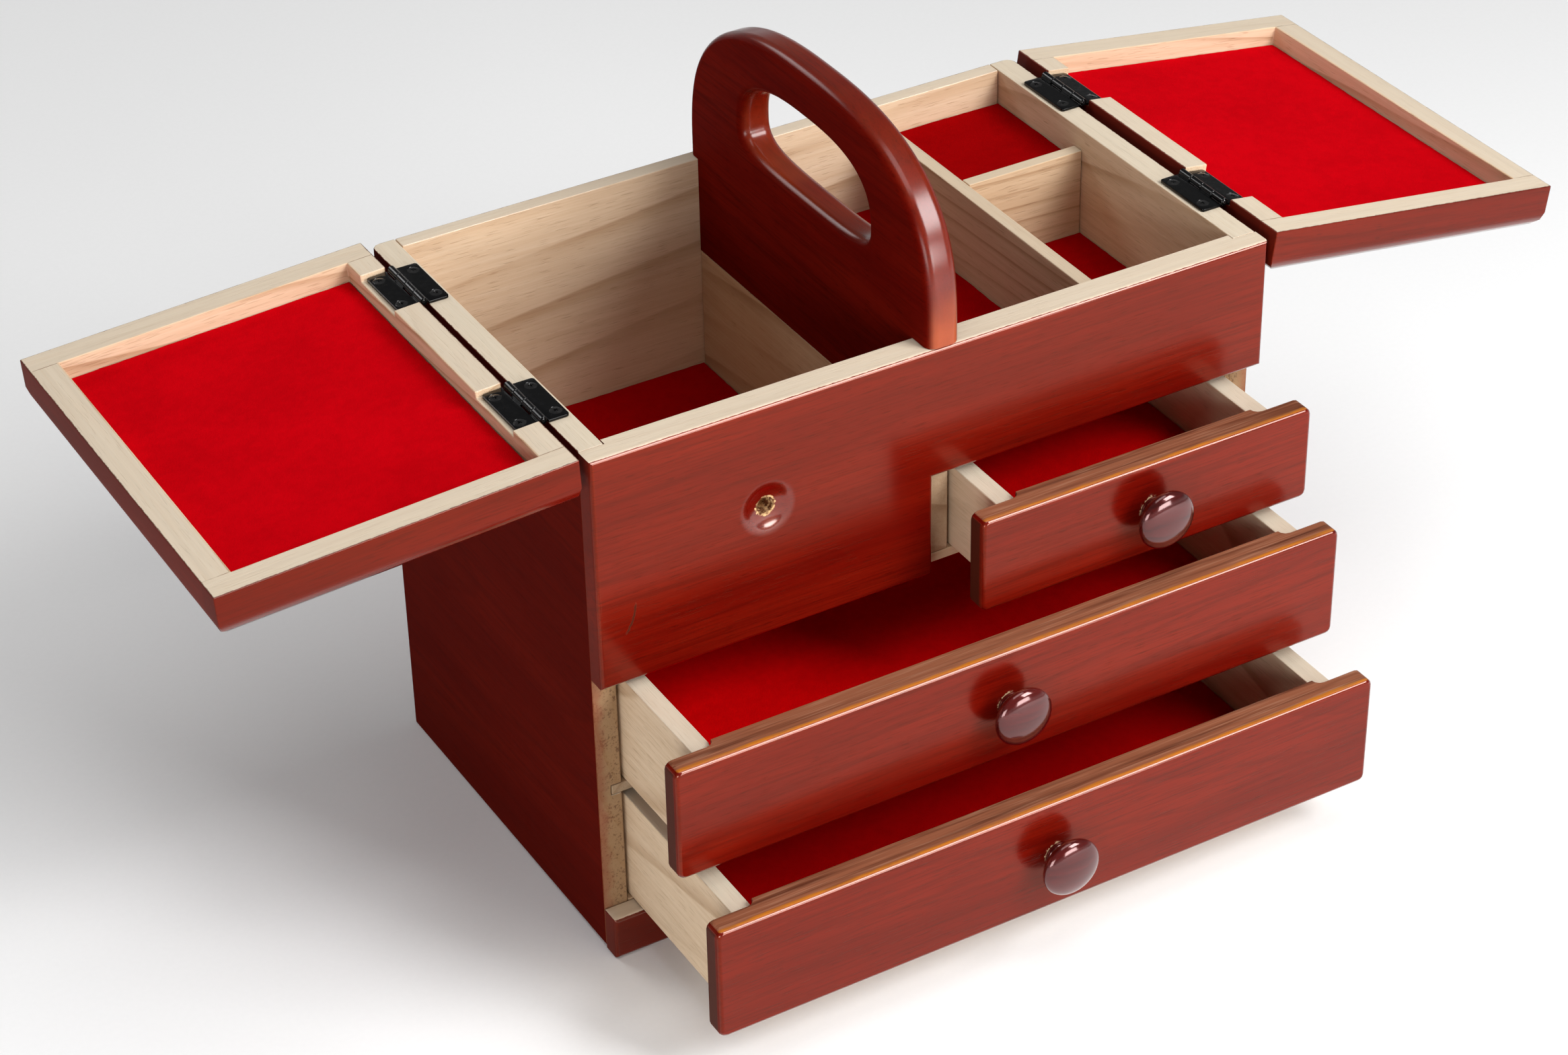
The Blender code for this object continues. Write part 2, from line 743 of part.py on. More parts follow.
make_shell()
make_front_panel()
make_floors()
make_runners()
make_handle()
for drawer_word, drawer_sizes in DRAWERS.items():
    make_drawer(drawer_word, *drawer_sizes)
for lid_word, lid_sizes in LIDS.items():
    make_lid(lid_word, *lid_sizes)
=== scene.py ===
"""The looks of a wooden sewing box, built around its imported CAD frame.

+X runs to the right along the box, -Y is the front and +Z is up, in metres. Most CAD boards stay and
get fine edges and a procedural wood. The knobs, the handle, the front panel, the hinges and every felt
are replaced by finer pieces.
"""

import json
import math

import bmesh
import bpy
from mathutils import Matrix, Vector, noise


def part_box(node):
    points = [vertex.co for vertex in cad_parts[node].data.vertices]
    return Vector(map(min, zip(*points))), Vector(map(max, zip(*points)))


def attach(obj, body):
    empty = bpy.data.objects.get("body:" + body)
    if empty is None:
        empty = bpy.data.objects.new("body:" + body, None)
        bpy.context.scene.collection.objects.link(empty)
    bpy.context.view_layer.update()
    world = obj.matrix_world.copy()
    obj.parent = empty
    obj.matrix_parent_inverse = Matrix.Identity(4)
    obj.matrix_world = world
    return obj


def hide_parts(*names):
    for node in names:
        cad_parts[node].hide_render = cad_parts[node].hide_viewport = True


MM = 0.001
SAME = 1e-6  # two places nearer than this are the same place

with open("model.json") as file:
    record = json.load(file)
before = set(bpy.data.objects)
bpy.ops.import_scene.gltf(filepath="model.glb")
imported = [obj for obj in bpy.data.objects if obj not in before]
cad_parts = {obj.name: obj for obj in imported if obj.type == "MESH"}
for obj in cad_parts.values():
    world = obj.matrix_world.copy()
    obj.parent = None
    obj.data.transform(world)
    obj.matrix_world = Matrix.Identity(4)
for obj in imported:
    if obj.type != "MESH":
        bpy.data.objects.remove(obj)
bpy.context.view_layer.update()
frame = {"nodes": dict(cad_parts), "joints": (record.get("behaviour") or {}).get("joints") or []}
NODES = frame["nodes"]
JOINTS = {joint["name"]: joint for joint in frame["joints"]}

LOW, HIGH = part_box("front_panel")
RIM_Z, FRONT_Y = HIGH.z, LOW.y
SIDE_X, BACK_Y = HIGH.x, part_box("back_panel")[1].y
HOLE_X, HOLE_Z = -77 * MM, 187.6 * MM  # where a knob has come off the front panel
DENT_X, DENT_Z = -135.5 * MM, 159 * MM  # the middle of a dent in the front panel
DENT_LEAN = math.radians(70)
LID_FRAME_Y = 11 * MM  # width of a lid's front and back rails


# ---------------------------------------------------------------- shader nodes


class Shader:
    """A material's node tree, with short calls for the nodes that it is made of."""

    def __init__(self, name, **constants):
        self.material = bpy.data.materials.new(name)
        self.material.use_nodes = True
        self.tree = self.material.node_tree
        self.surface = self.tree.nodes["Principled BSDF"]
        for key, value in constants.items():
            self.surface.inputs[key.replace("_", " ")].default_value = value

    def put(self, socket, value):
        if isinstance(value, bpy.types.NodeSocket):
            self.tree.links.new(value, socket)
        else:
            socket.default_value = value

    def node(self, kind, inputs, **settings):
        made = self.tree.nodes.new("ShaderNode" + kind)
        for key, value in settings.items():
            setattr(made, key, value)
        for key, value in inputs.items():
            self.put(made.inputs[key], value)
        return made

    def math(self, operation, *values):
        return self.node("Math", dict(enumerate(values)), operation=operation).outputs[0]

    def times(self, first, second):
        return self.math("MULTIPLY", first, second)

    def plus(self, first, second):
        return self.math("ADD", first, second)

    def minus(self, first, second):
        return self.math("SUBTRACT", first, second)

    def larger(self, first, second):
        return self.math("MAXIMUM", first, second)

    def absolute(self, value):
        return self.math("ABSOLUTE", value)

    def without(self, value, share):
        """The value where the share is 0, and nothing where it is 1."""
        return self.times(value, self.minus(1.0, share))

    def vector(self, operation, *values):
        made = self.node("VectorMath", dict(enumerate(values)), operation=operation)
        return made.outputs["Value" if operation == "LENGTH" else "Vector"]

    def combined(self, parts):
        return self.node("CombineXYZ", parts).outputs[0]

    def smooth(self, value, start, end, low=0.0, high=1.0):
        inputs = {0: value, 1: start, 2: end, 3: low, 4: high}
        return self.node("MapRange", inputs, interpolation_type="SMOOTHSTEP").outputs[0]

    def noise(self, point, scale, detail=2.0, roughness=0.5, output="Fac"):
        inputs = {"Vector": point, "Scale": scale, "Detail": detail, "Roughness": roughness}
        return self.node("TexNoise", inputs).outputs[output]

    def stretched(self, point, along, across, detail, roughness=0.5):
        """Noise on a board's own point, with a scale along the grain and one across it."""
        scaled = self.vector("MULTIPLY", point, (along, across, across))
        return self.noise(scaled, 1.0, detail, roughness)

    def mix(self, factor, first, second, blend="MIX"):
        """A mix of two colours, each a socket or a tuple of red, green and blue."""
        made = self.node("Mix", {0: factor}, data_type="RGBA", blend_type=blend)
        for index, colour in ((6, first), (7, second)):
            self.put(made.inputs[index], (*colour, 1.0) if isinstance(colour, tuple) else colour)
        return made.outputs[2]

    def number(self, factor, first, second):
        return self.node("Mix", {0: factor, 2: first, 3: second}).outputs[0]

    def bump(self, height, distance, strength):
        inputs = {"Height": height, "Distance": distance, "Strength": strength}
        return self.node("Bump", inputs).outputs[0]

    def finish(self, colour, roughness, normal=None, coat=None):
        found = {"Base Color": colour, "Roughness": roughness, "Normal": normal, "Coat Weight": coat}
        for key, value in found.items():
            if value is not None:
                self.put(self.surface.inputs[key], value)
        return self.material


def shade(colour, share):
    return tuple(share * part for part in colour)


class Placed:
    """Sockets for where a point is, and which way it faces, in the frame of one board."""

    def __init__(self, shader, turn=None):
        coordinates = shader.node("TexCoord", {})
        point, facing = coordinates.outputs["Object"], coordinates.outputs["Normal"]
        if turn is not None:
            place, angle = turn
            inputs = {"Vector": point, "Location": place, "Rotation": (0, angle, 0)}
            point = shader.node("Mapping", inputs, vector_type="TEXTURE").outputs[0]
            inputs = {"Vector": facing, "Rotation": (0, angle, 0)}
            facing = shader.node("Mapping", inputs, vector_type="TEXTURE").outputs[0]
        self.shader = shader
        self.point = point
        self.at = dict(zip("xyz", shader.node("SeparateXYZ", {0: point}).outputs))
        self.facing = dict(zip("xyz", shader.node("SeparateXYZ", {0: facing}).outputs))

    def toward(self, direction):
        """How squarely the surface faces a direction such as "-x"."""
        value = self.facing[direction[1]]
        return value if direction[0] == "+" else self.shader.times(value, -1.0)

    def past(self, axis, place):
        """How far the point lies past a place along an axis."""
        return self.shader.minus(self.at[axis], place)

    def around(self, x, z):
        """(across, height, radius) from a spot on the front."""
        across, height = self.past("x", x), self.past("z", z)
        spot = self.shader.combined({0: across, 2: height})
        return across, height, self.shader.vector("LENGTH", spot)


# ---------------------------------------------------------------- wood

RAW_LIGHT = (0.72, 0.555, 0.385)
RAW_MIDDLE = (0.60, 0.425, 0.265)
RAW_LINE = (0.36, 0.200, 0.095)
RAW_RIM = (0.655, 0.565, 0.440)
SEAM = (0.07, 0.028, 0.014)
GLUE = (0.20, 0.12, 0.07)
LACQUER_LIGHT = (0.152, 0.0052, 0.0014)
LACQUER_MIDDLE = (0.106, 0.0018, 0.0006)
LACQUER_DARK = (0.055, 0.0008, 0.0005)
LACQUER_BROWN = (0.060, 0.0045, 0.0020)
LACQUER_ORANGE = (0.50, 0.095, 0.018)
STAIN = (0.235, 0.085, 0.043)
STAIN_DARK = (0.080, 0.024, 0.012)
STAIN_PALE = (0.38, 0.195, 0.118)
STAIN_ORANGE = (0.45, 0.145, 0.012)
STAIN_END = (0.030, 0.006, 0.004)
STAIN_RED = (0.22, 0.055, 0.025)
END_GRAIN = (0.28, 0.165, 0.082)
END_GRAIN_DARK = (0.12, 0.055, 0.025)
CHIPPED = (0.62, 0.42, 0.25)
TORN_LIGHT = (0.62, 0.40, 0.20)
TORN_DARK = (0.10, 0.035, 0.015)
DENT_SHADE = (0.020, 0.003, 0.002)
GLOSS_TINT = (1.0, 0.32, 0.14, 1.0)
RAW_ROUGH = 0.72
RELIEF = 0.12 * MM  # height of the grain


class Grain:
    """Sockets for the growth rings, fibres, pores and mottling of one sawn board.

    order names the axes along the grain, across the face and into it. heart is where the middle of
    the tree lies across and into the board, which makes straight lines or pointed arches. Where the
    point is nearer than rails to the middle of a frame, the grain runs along Y instead."""

    def __init__(self, shader, placed, order, seed, pitch=7 * MM, heart=(0.01, 0.06), tilt=0.10,
                 rails=None):
        turned = shader.combined({index: placed.at[axis] for index, axis in enumerate(order)})
        if rails is not None:
            swapped = shader.combined({0: placed.at["y"], 1: placed.at["x"], 2: placed.at["z"]})
            between = shader.math("LESS_THAN", shader.absolute(placed.at["y"]), rails)
            turned = shader.mix(between, turned, swapped)
        point = shader.vector("ADD", turned, (0.731 * seed, 0.417 * seed, 0.293 * seed))
        slow = shader.vector("MULTIPLY", point, (2.2, 13.0, 13.0))
        warp = shader.noise(slow, 1.0, 3.0, 0.45, "Color")
        warp = shader.vector("SUBTRACT", warp, (0.5, 0.5, 0.5))
        warp = shader.vector("MULTIPLY", warp, (0.0, 0.015, 0.015))
        place = shader.vector("ADD", turned, warp)
        along, across, into = shader.node("SeparateXYZ", {0: place}).outputs
        across = shader.minus(across, heart[0])
        into = shader.plus(shader.plus(into, heart[1]), shader.times(along, tilt))
        radius = shader.vector("LENGTH", shader.combined({1: across, 2: into}))
        turns = shader.math("FRACT", shader.math("DIVIDE", radius, pitch))
        rise = shader.smooth(turns, 0.20, 0.95)
        fall = shader.smooth(turns, 0.95, 1.0, 1.0, 0.0)
        ring = shader.times(shader.math("POWER", rise, 7.0), fall)
        self.mottle = shader.stretched(point, 7.0, 38.0, 3.0, 0.55)
        self.ring = shader.times(ring, shader.smooth(self.mottle, 0.34, 0.62, 0.15, 1.0))
        self.fibre = shader.stretched(point, 32.0, 1300.0, 2.0, 0.6)
        self.streak = shader.stretched(point, 9.0, 360.0, 3.0, 0.6)
        dashes = shader.stretched(point, 130.0, 2600.0, 0.0)
        self.pore = shader.smooth(dashes, 0.66, 0.76)
        self.point = point


def raw_look(shader, grain, placed, tone=1.0, rim=False):
    """(colour, bump height) of bare wood. A rim is greyer and plainer on its upper face."""
    lines = shader.times(grain.ring, 0.68)
    fibres = shader.smooth(grain.fibre, 0.30, 0.75, 0.0, 0.45)
    pores = shader.times(grain.pore, 0.3)
    streaks = shader.smooth(grain.streak, 0.35, 0.75, 0.0, 0.55)
    colour = shader.mix(streaks, RAW_LIGHT, RAW_MIDDLE)
    if rim:
        up = shader.smooth(placed.facing["z"], 0.6, 0.9)
        colour = shader.mix(up, colour, shader.mix(streaks, RAW_RIM, shade(RAW_RIM, 0.88)))
        lines = shader.times(lines, shader.number(up, 1.0, 0.10))
        fibres = shader.times(fibres, shader.number(up, 1.0, 0.35))
        pores = shader.times(pores, shader.number(up, 1.0, 0.20))
    colour = shader.mix(lines, colour, RAW_LINE)
    colour = shader.mix(fibres, colour, RAW_MIDDLE)
    colour = shader.mix(pores, colour, shade(RAW_LINE, 0.8))
    if tone != 1.0:
        colour = shader.mix(1.0, colour, (tone, tone * 0.93, tone * 0.86), "MULTIPLY")
    height = shader.plus(grain.fibre, shader.times(grain.pore, -0.8))
    return colour, height


def lacquer_look(shader, grain, dark):
    """Colour of wood under a red-brown stain and a clear coat."""
    colour = shader.mix(shader.smooth(grain.mottle, 0.28, 0.72), LACQUER_MIDDLE, LACQUER_LIGHT)
    streaks = shader.smooth(grain.streak, 0.42, 0.85, 0.0, 0.6)
    fibres = shader.smooth(grain.fibre, 0.45, 0.75, 0.0, 0.45)
    for marks in (streaks, shader.times(grain.ring, 0.30), fibres):
        colour = shader.mix(marks, colour, LACQUER_DARK)
    colour = shader.mix(shader.times(grain.pore, 0.35), colour, shade(LACQUER_DARK, 0.4))
    if dark:
        colour = shader.mix(dark, colour, LACQUER_BROWN)
    return colour


def raw_wood(name, order, seed, tone=1.0, rim=False, **shape):
    shader = Shader(name, Specular_IOR_Level=0.3)
    placed = Placed(shader)
    grain = Grain(shader, placed, order, seed, **shape)
    colour, height = raw_look(shader, grain, placed, tone, rim)
    return shader.finish(colour, RAW_ROUGH, shader.bump(height, RELIEF, 0.6))


def finished_wood(name, order, seed, lacquered, planes, turn=None, dark=0.0, gloss=1.0,
                  coat_rough=0.12, extra=None, **shape):
    """Wood that is lacquered on the faces that point the given ways, and bare on the others.

    planes are (way, place) of flat lacquered faces: only what lies near such a plane is lacquered
    that way, and the lacquer creeps a little over the edges of the bare faces beside it. Ends that
    face left or right are duller, and edges rounded to the front or back shine more."""
    shader = Shader(
        name,
        Specular_IOR_Level=0.66 * gloss,
        Specular_Tint=GLOSS_TINT,
        Coat_Roughness=coat_rough,
        Coat_IOR=1.5,
    )
    placed = Placed(shader, turn)
    grain = Grain(shader, placed, order, seed, **shape)
    bare, height = raw_look(shader, grain, placed, rim=True)
    ragged = shader.noise(placed.point, 420.0, 3.0, 0.65)

    near = dict(planes)
    faces = None
    for way in lacquered:
        value = placed.toward(way)
        if way in near:
            off = shader.absolute(placed.past(way[1], near[way]))
            value = shader.times(value, shader.smooth(off, 8.4 * MM, 7.8 * MM))
        faces = value if faces is None else shader.larger(faces, value)
    covered = shader.smooth(shader.plus(faces, shader.times(ragged, 0.3)), 0.62, 0.70)
    seam = None
    for way, place in planes:
        off = shader.absolute(placed.past(way[1], place))
        off = shader.plus(off, shader.times(ragged, 0.9 * MM))
        covered = shader.larger(covered, shader.smooth(off, 0.72 * MM, 0.62 * MM))
        line = shader.smooth(off, 1.05 * MM, 0.80 * MM)
        seam = line if seam is None else shader.larger(seam, line)
    if planes:
        bare = shader.mix(shader.times(seam, 0.85), bare, SEAM)
    colour = shader.mix(covered, bare, lacquer_look(shader, grain, dark))

    ends = shader.smooth(shader.absolute(placed.facing["x"]), 0.80, 0.95, 0.20, 0.85)
    rough = shader.number(covered, RAW_ROUGH, ends)
    slope = shader.times(placed.facing["z"], placed.facing["y"])
    round_edge = shader.smooth(shader.absolute(slope), 0.18, 0.38)
    coat = shader.plus(shader.times(covered, 0.06 * gloss), shader.times(round_edge, 0.8))
    if extra is not None:
        colour, coat, rough = extra(shader, placed, grain, colour, coat, rough)
    relief = shader.number(covered, 1.0, 0.25)
    normal = shader.bump(shader.times(height, relief), RELIEF, 0.6)
    return shader.finish(colour, rough, normal, coat)


def stained_top(knob, front):
    """What a drawer front has besides lacquer: a rough stained top edge with an orange line along the
    front of it, dark ends, and wood chipped bare round the foot of the knob."""

    def add(shader, placed, grain, colour, coat, rough):
        up = shader.smooth(placed.facing["z"], 0.80, 0.93)
        behind = placed.past("y", front)
        ragged = shader.stretched(grain.point, 60.0, 900.0, 2.0, 0.6)
        strip = shader.plus(behind, shader.times(ragged, 2.4 * MM))
        patches = shader.smooth(shader.noise(placed.point, 55.0, 3.0, 0.6), 0.30, 0.62, 0.45, 0.95)
        orange = shader.times(shader.smooth(strip, 3.9 * MM, 3.0 * MM), patches)
        brown = shader.mix(shader.smooth(grain.streak, 0.42, 0.72), STAIN, STAIN_DARK)
        pale = shader.smooth(grain.fibre, 0.45, 0.75, 0.0, 0.6)
        brown = shader.mix(orange, shader.mix(pale, brown, STAIN_PALE), STAIN_ORANGE)
        colour = shader.mix(up, colour, brown)
        rough = shader.number(up, rough, 0.55)
        coat = shader.times(coat, shader.number(up, 1.0, 0.0))

        ends = shader.smooth(shader.absolute(placed.facing["x"]), 0.85, 0.95)
        ends = shader.times(ends, shader.smooth(behind, 2.0 * MM, 2.6 * MM))
        colour = shader.mix(shader.times(ends, 0.9), colour, STAIN_END)

        across, height, radius = placed.around(*knob)
        bits = shader.noise(placed.point, 700.0, 2.0, 0.6)
        reach = shader.plus(radius, shader.times(bits, -3.0 * MM))
        side = shader.smooth(shader.minus(height, across), 4.0 * MM, 7.0 * MM)
        chip = shader.times(shader.smooth(reach, 4.55 * MM, 4.35 * MM), side)
        return shader.mix(chip, colour, CHIPPED), shader.without(coat, chip), rough

    return add


def speckled_edge(side):
    """End grain on the bare front edge of a side: brown specks, and red stain near the outside."""

    def add(shader, placed, grain, colour, coat, rough):
        edge = shader.times(shader.smooth(placed.toward("-y"), 0.7, 0.9), 0.9)
        specks = shader.noise(placed.point, 900.0, 3.0, 0.7)
        cloud = shader.noise(placed.point, 160.0, 3.0, 0.6)
        fine = shader.smooth(shader.plus(specks, shader.times(cloud, 0.5)), 0.78, 0.92)
        outward = shader.times(placed.at["x"], side)
        stain = shader.plus(outward, shader.times(cloud, 6.0 * MM))
        stain = shader.smooth(stain, 147.0 * MM, 152.0 * MM, 0.0, 0.75)
        brown = shader.mix(stain, shader.mix(fine, END_GRAIN, END_GRAIN_DARK), STAIN_RED)
        return shader.mix(edge, colour, brown), shader.without(coat, edge), rough

    return add


def worn_handle(shader, placed, grain, colour, coat, rough):
    """Thin lacquer that shows orange along the rounded edges of the handle board."""
    edge = shader.smooth(shader.absolute(placed.facing["x"]), 0.90, 0.35)
    coat = shader.larger(coat, shader.times(edge, 0.9))
    patches = shader.noise(placed.point, 30.0, 2.0, 0.5)
    low = shader.smooth(placed.at["z"], 262 * MM, 236 * MM, 0.12, 0.75)
    worn = shader.times(edge, shader.smooth(patches, 0.30, 0.75, 0.3, 1.0))
    return shader.mix(shader.times(worn, low), colour, LACQUER_ORANGE), coat, rough


def torn_hole(shader, placed, grain, colour, coat, rough):
    """Bare, darkened wood in the empty screw hole of the front panel, a shinier dish around it, and a
    short curved dent near the lower left corner, painted as a dark line of shade with no dip in the
    surface."""
    radius = placed.around(HOLE_X, HOLE_Z)[2]
    bits = shader.noise(placed.point, 600.0, 2.0, 0.6)
    reach = shader.plus(radius, shader.times(bits, -2.4 * MM))
    torn = shader.smooth(reach, 3.35 * MM, 3.05 * MM)
    tone = shader.mix(shader.smooth(bits, 0.40, 0.62), TORN_DARK, TORN_LIGHT)
    colour = shader.mix(torn, colour, tone)

    off_x, off_z = placed.past("x", DENT_X), placed.past("z", DENT_Z)
    cosine, sine = math.cos(DENT_LEAN), math.sin(DENT_LEAN)
    along = shader.plus(shader.times(off_x, cosine), shader.times(off_z, sine))
    aside = shader.minus(shader.times(off_x, sine), shader.times(off_z, cosine))
    aside = shader.plus(aside, shader.times(shader.times(along, along), 22.0))
    aside = shader.plus(aside, shader.times(shader.minus(bits, 0.5), 1.2 * MM))
    dent = shader.times(
        shader.smooth(shader.absolute(aside), 0.62 * MM, 0.25 * MM),
        shader.smooth(shader.absolute(along), 7.5 * MM, 5.0 * MM),
    )
    # Painted shade: a near-black line stands for the shaded crease of the dent.
    colour = shader.mix(shader.times(dent, 0.85), colour, DENT_SHADE)
    dish = shader.smooth(radius, 12.5 * MM, 10.0 * MM, 0.0, 0.9)
    return colour, shader.without(shader.plus(coat, dish), torn), shader.number(dent, rough, 0.8)


def lid_joints(side, outer, inner, outside, reach):
    """Dark glue lines where the rails of a lid meet at its corners, and bare inner faces."""

    def add(shader, placed, grain, colour, coat, rough):
        inward = shader.times(shader.minus(outer, placed.at["x"]), side)
        inside_x = shader.smooth(inward, 10.5 * MM, 11.2 * MM)
        inside_y = shader.smooth(shader.absolute(placed.at["y"]), reach + 0.6 * MM, reach)
        outward = shader.times(placed.past("x", inner), side)
        inside_in = shader.smooth(outward, 10.2 * MM, 10.8 * MM)
        bare = shader.times(shader.times(inside_x, inside_y), inside_in)
        deep = placed.past("z", outside)
        bare = shader.times(bare, shader.smooth(deep, 0.8 * MM, 1.2 * MM))
        pale, _ = raw_look(shader, grain, placed)
        colour = shader.mix(bare, colour, pale)
        coat = shader.without(coat, bare)
        rough = shader.number(bare, rough, RAW_ROUGH)

        up = shader.smooth(placed.facing["z"], 0.7, 0.9)
        off = shader.absolute(shader.minus(shader.absolute(placed.at["y"]), reach))
        line = shader.smooth(off, 0.28 * MM, 0.12 * MM)
        ends = shader.larger(shader.minus(1.0, inside_x), shader.minus(1.0, inside_in))
        line = shader.times(shader.times(line, ends), up)
        broken = shader.smooth(shader.noise(placed.point, 260.0, 2.0, 0.6), 0.35, 0.6, 0.2, 0.8)
        return shader.mix(shader.times(line, broken), colour, GLUE), coat, rough

    return add


# ---------------------------------------------------------------- other materials

KNOB_DARK = (0.020, 0.0018, 0.0018)
KNOB_MIDDLE = (0.060, 0.0045, 0.0040)
KNOB_LIGHT = (0.11, 0.008, 0.006)
CARD_LIGHT = (0.50, 0.46, 0.40)
CARD_DARK = (0.30, 0.27, 0.23)
ENAMEL = (0.0018, 0.0018, 0.0020)
STEEL = (0.070, 0.068, 0.068)
SPLINTER_LIGHT = (0.72, 0.50, 0.28)
SPLINTER_DARK = (0.36, 0.17, 0.07)
FLOOR_LIGHT = (0.938, 0.938, 0.938)
FLOOR_DARK = (0.930, 0.930, 0.930)
LID_RED = (0.52, 0.0006, 0.0040)
# Painted shade: the trays hold the same felt as the lids, made about half as bright for the shade deep
# in the compartments.
TRAY_RED_SHADED = (0.26, 0.0006, 0.0010)
# Painted light and shade: the drawers hold one felt, made lighter in the middle drawer and darker in
# the bottom one for how much light reaches into each.
DRAWER_REDS_LIT_AND_SHADED = {
    "small": (0.50, 0.0006, 0.0014),
    "middle": (0.62, 0.0006, 0.0018),
    "bottom": (0.42, 0.0006, 0.0012),
}


def knob_lacquer():
    shader = Shader(
        "knob_gloss",
        Coat_Weight=0.85,
        Coat_Roughness=0.10,
        Specular_IOR_Level=0.60,
        Specular_Tint=(1.0, 0.40, 0.38, 1.0),
    )
    placed = Placed(shader)
    grain = Grain(shader, placed, "xzy", 5, pitch=2.2 * MM)
    colour = shader.mix(shader.smooth(grain.streak, 0.35, 0.75), KNOB_MIDDLE, KNOB_DARK)
    colour = shader.mix(shader.smooth(grain.mottle, 0.4, 0.7, 0.0, 0.5), colour, KNOB_LIGHT)
    wave = shader.noise(placed.point, 160.0, 2.0, 0.5)
    return shader.finish(colour, 0.16, shader.bump(wave, 0.15 * MM, 0.3))


def felt(name, colour, seed):
    shader = Shader(
        name,
        Sheen_Weight=0.12,
        Sheen_Roughness=0.45,
        Sheen_Tint=(1.0, 0.03, 0.05, 1.0),
        Specular_IOR_Level=0.0,
    )
    placed = Placed(shader)
    point = shader.vector("ADD", placed.point, (0.37 * seed, 0.11 * seed, 0.0))
    clumps = shader.noise(point, 210.0, 3.0, 0.6)
    hairs = shader.noise(point, 2600.0, 2.0, 0.7)
    broad = shader.noise(point, 26.0, 2.0, 0.5)
    dark, light = shade(colour, 0.88), shade(colour, 1.06)
    mixed = shader.plus(shader.times(clumps, 0.5), shader.times(broad, 0.5))
    tone = shader.mix(shader.smooth(mixed, 0.30, 0.70), dark, light)
    tone = shader.mix(shader.smooth(hairs, 0.5, 0.75, 0.0, 0.5), tone, dark)
    height = shader.plus(shader.times(hairs, 0.5), clumps)
    return shader.finish(tone, 0.95, shader.bump(height, 0.5 * MM, 0.55))


def fibrous(name, scale, detail, noise_rough, span, colours, rough, relief, specular):
    """A plain material with one noise that drives both its tone and its relief."""
    shader = Shader(name, Specular_IOR_Level=specular)
    fibres = shader.noise(Placed(shader).point, scale, detail, noise_rough)
    tone = shader.mix(shader.smooth(fibres, *span), *colours)
    normal = shader.bump(fibres, 0.1 * MM, relief) if relief else None
    return shader.finish(tone, rough, normal)


def black_enamel(name, base, rough, metal=0.0):
    shader = Shader(
        name, Coat_Weight=0.2, Coat_Roughness=0.08, Specular_IOR_Level=0.20, Metallic=metal
    )
    placed = Placed(shader)
    peel = shader.noise(placed.point, 1300.0, 2.0, 0.5)
    wear = shader.noise(placed.point, 380.0, 3.0, 0.6)
    tone = shader.mix(shader.smooth(wear, 0.45, 0.75), base, shade(base, 1.6))
    rough = shader.smooth(wear, 0.3, 0.7, rough, rough + 0.14)
    return shader.finish(tone, rough, shader.bump(peel, 0.06 * MM, 0.5))


# ---------------------------------------------------------------- meshes


def link(name, data):
    made = bpy.data.objects.new(name, data)
    bpy.context.scene.collection.objects.link(made)
    return made


def finished_mesh(name, bm, material, sharp=35.0):
    mesh = bpy.data.meshes.new(name)
    bmesh.ops.recalc_face_normals(bm, faces=bm.faces)
    bm.to_mesh(mesh)
    bm.free()
    mesh.materials.append(material)
    mesh.shade_smooth()
    mesh.set_sharp_from_angle(angle=math.radians(sharp))
    return mesh


def piece(name, mesh, body, stands_for=(), matrix=None):
    """Puts a mesh in the scene as a piece that rides on a body."""
    made = link(name, mesh)
    if matrix is not None:
        made.matrix_world = matrix
    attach(made, body)
    if stands_for:
        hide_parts(*stands_for)
    return made


def lacquered_board(name, bm, look, node, sharp=35.0):
    """A carved board that stands for a CAD node of the box."""
    made = piece(name, finished_mesh(name, bm, look, sharp), "box", [node])
    made.modifiers.new("normals", "WEIGHTED_NORMAL").keep_sharp = True


def box_mesh(bm, low, high):
    """Adds a box to a bmesh and returns its vertices."""
    low, high = Vector(low), Vector(high)
    made = bmesh.ops.create_cube(bm, size=1.0)["verts"]
    bmesh.ops.scale(bm, vec=high - low, verts=made)
    bmesh.ops.translate(bm, vec=(low + high) / 2, verts=made)
    return made


def edges_at(edges, axis, value):
    """The ones of these edges that lie in the plane where an axis has the value."""
    index = "xyz".index(axis)
    return [e for e in edges if all(abs(v.co[index] - value) < SAME for v in e.verts)]


def bevel(bm, edges, radius, segments):
    bmesh.ops.bevel(
        bm, geom=edges, offset=radius, segments=segments, profile=0.5, affect="EDGES"
    )


def quarter(count):
    """(sine, cosine) of steps along a quarter turn, without its start."""
    steps = (math.pi / 2 * index / count for index in range(1, count + 1))
    return [(math.sin(angle), math.cos(angle)) for angle in steps]


def turned_mesh(profile, sides):
    """A solid of revolution about Z from (radius, height) points, closed at both ends."""
    bm = bmesh.new()
    rings = []
    for radius, height in profile:
        if radius < SAME:
            rings.append([bm.verts.new((0, 0, height))])
            continue
        ring = []
        for index in range(sides):
            angle = 2 * math.pi * index / sides
            ring.append(bm.verts.new((radius * math.cos(angle), radius * math.sin(angle), height)))
        rings.append(ring)
    for upper, lower in zip(rings, rings[1:]):
        for index in range(sides):
            after = (index + 1) % sides
            corners = [upper[index % len(upper)], upper[after % len(upper)]]
            corners += [lower[after % len(lower)], lower[index % len(lower)]]
            seen = list(dict.fromkeys(corners))
            if len(seen) > 2:
                bm.faces.new(seen)
    return bm


def lay(bm, place, way):
    """Lays a solid of revolution along Y at a place: its top goes to the front for 1, to the back
    for -1."""
    bm.transform(Matrix.Translation(place) @ Matrix.Rotation(way * math.pi / 2, 4, "X"))
    return bm


def pin_profile(radius, reach, chamfer):
    """A rod from -reach to reach with a chamfer at both ends."""
    inner = radius - chamfer
    upper = [(0.0, reach), (inner, reach), (radius, reach - chamfer)]
    return upper + [(width, -height) for width, height in reversed(upper)]


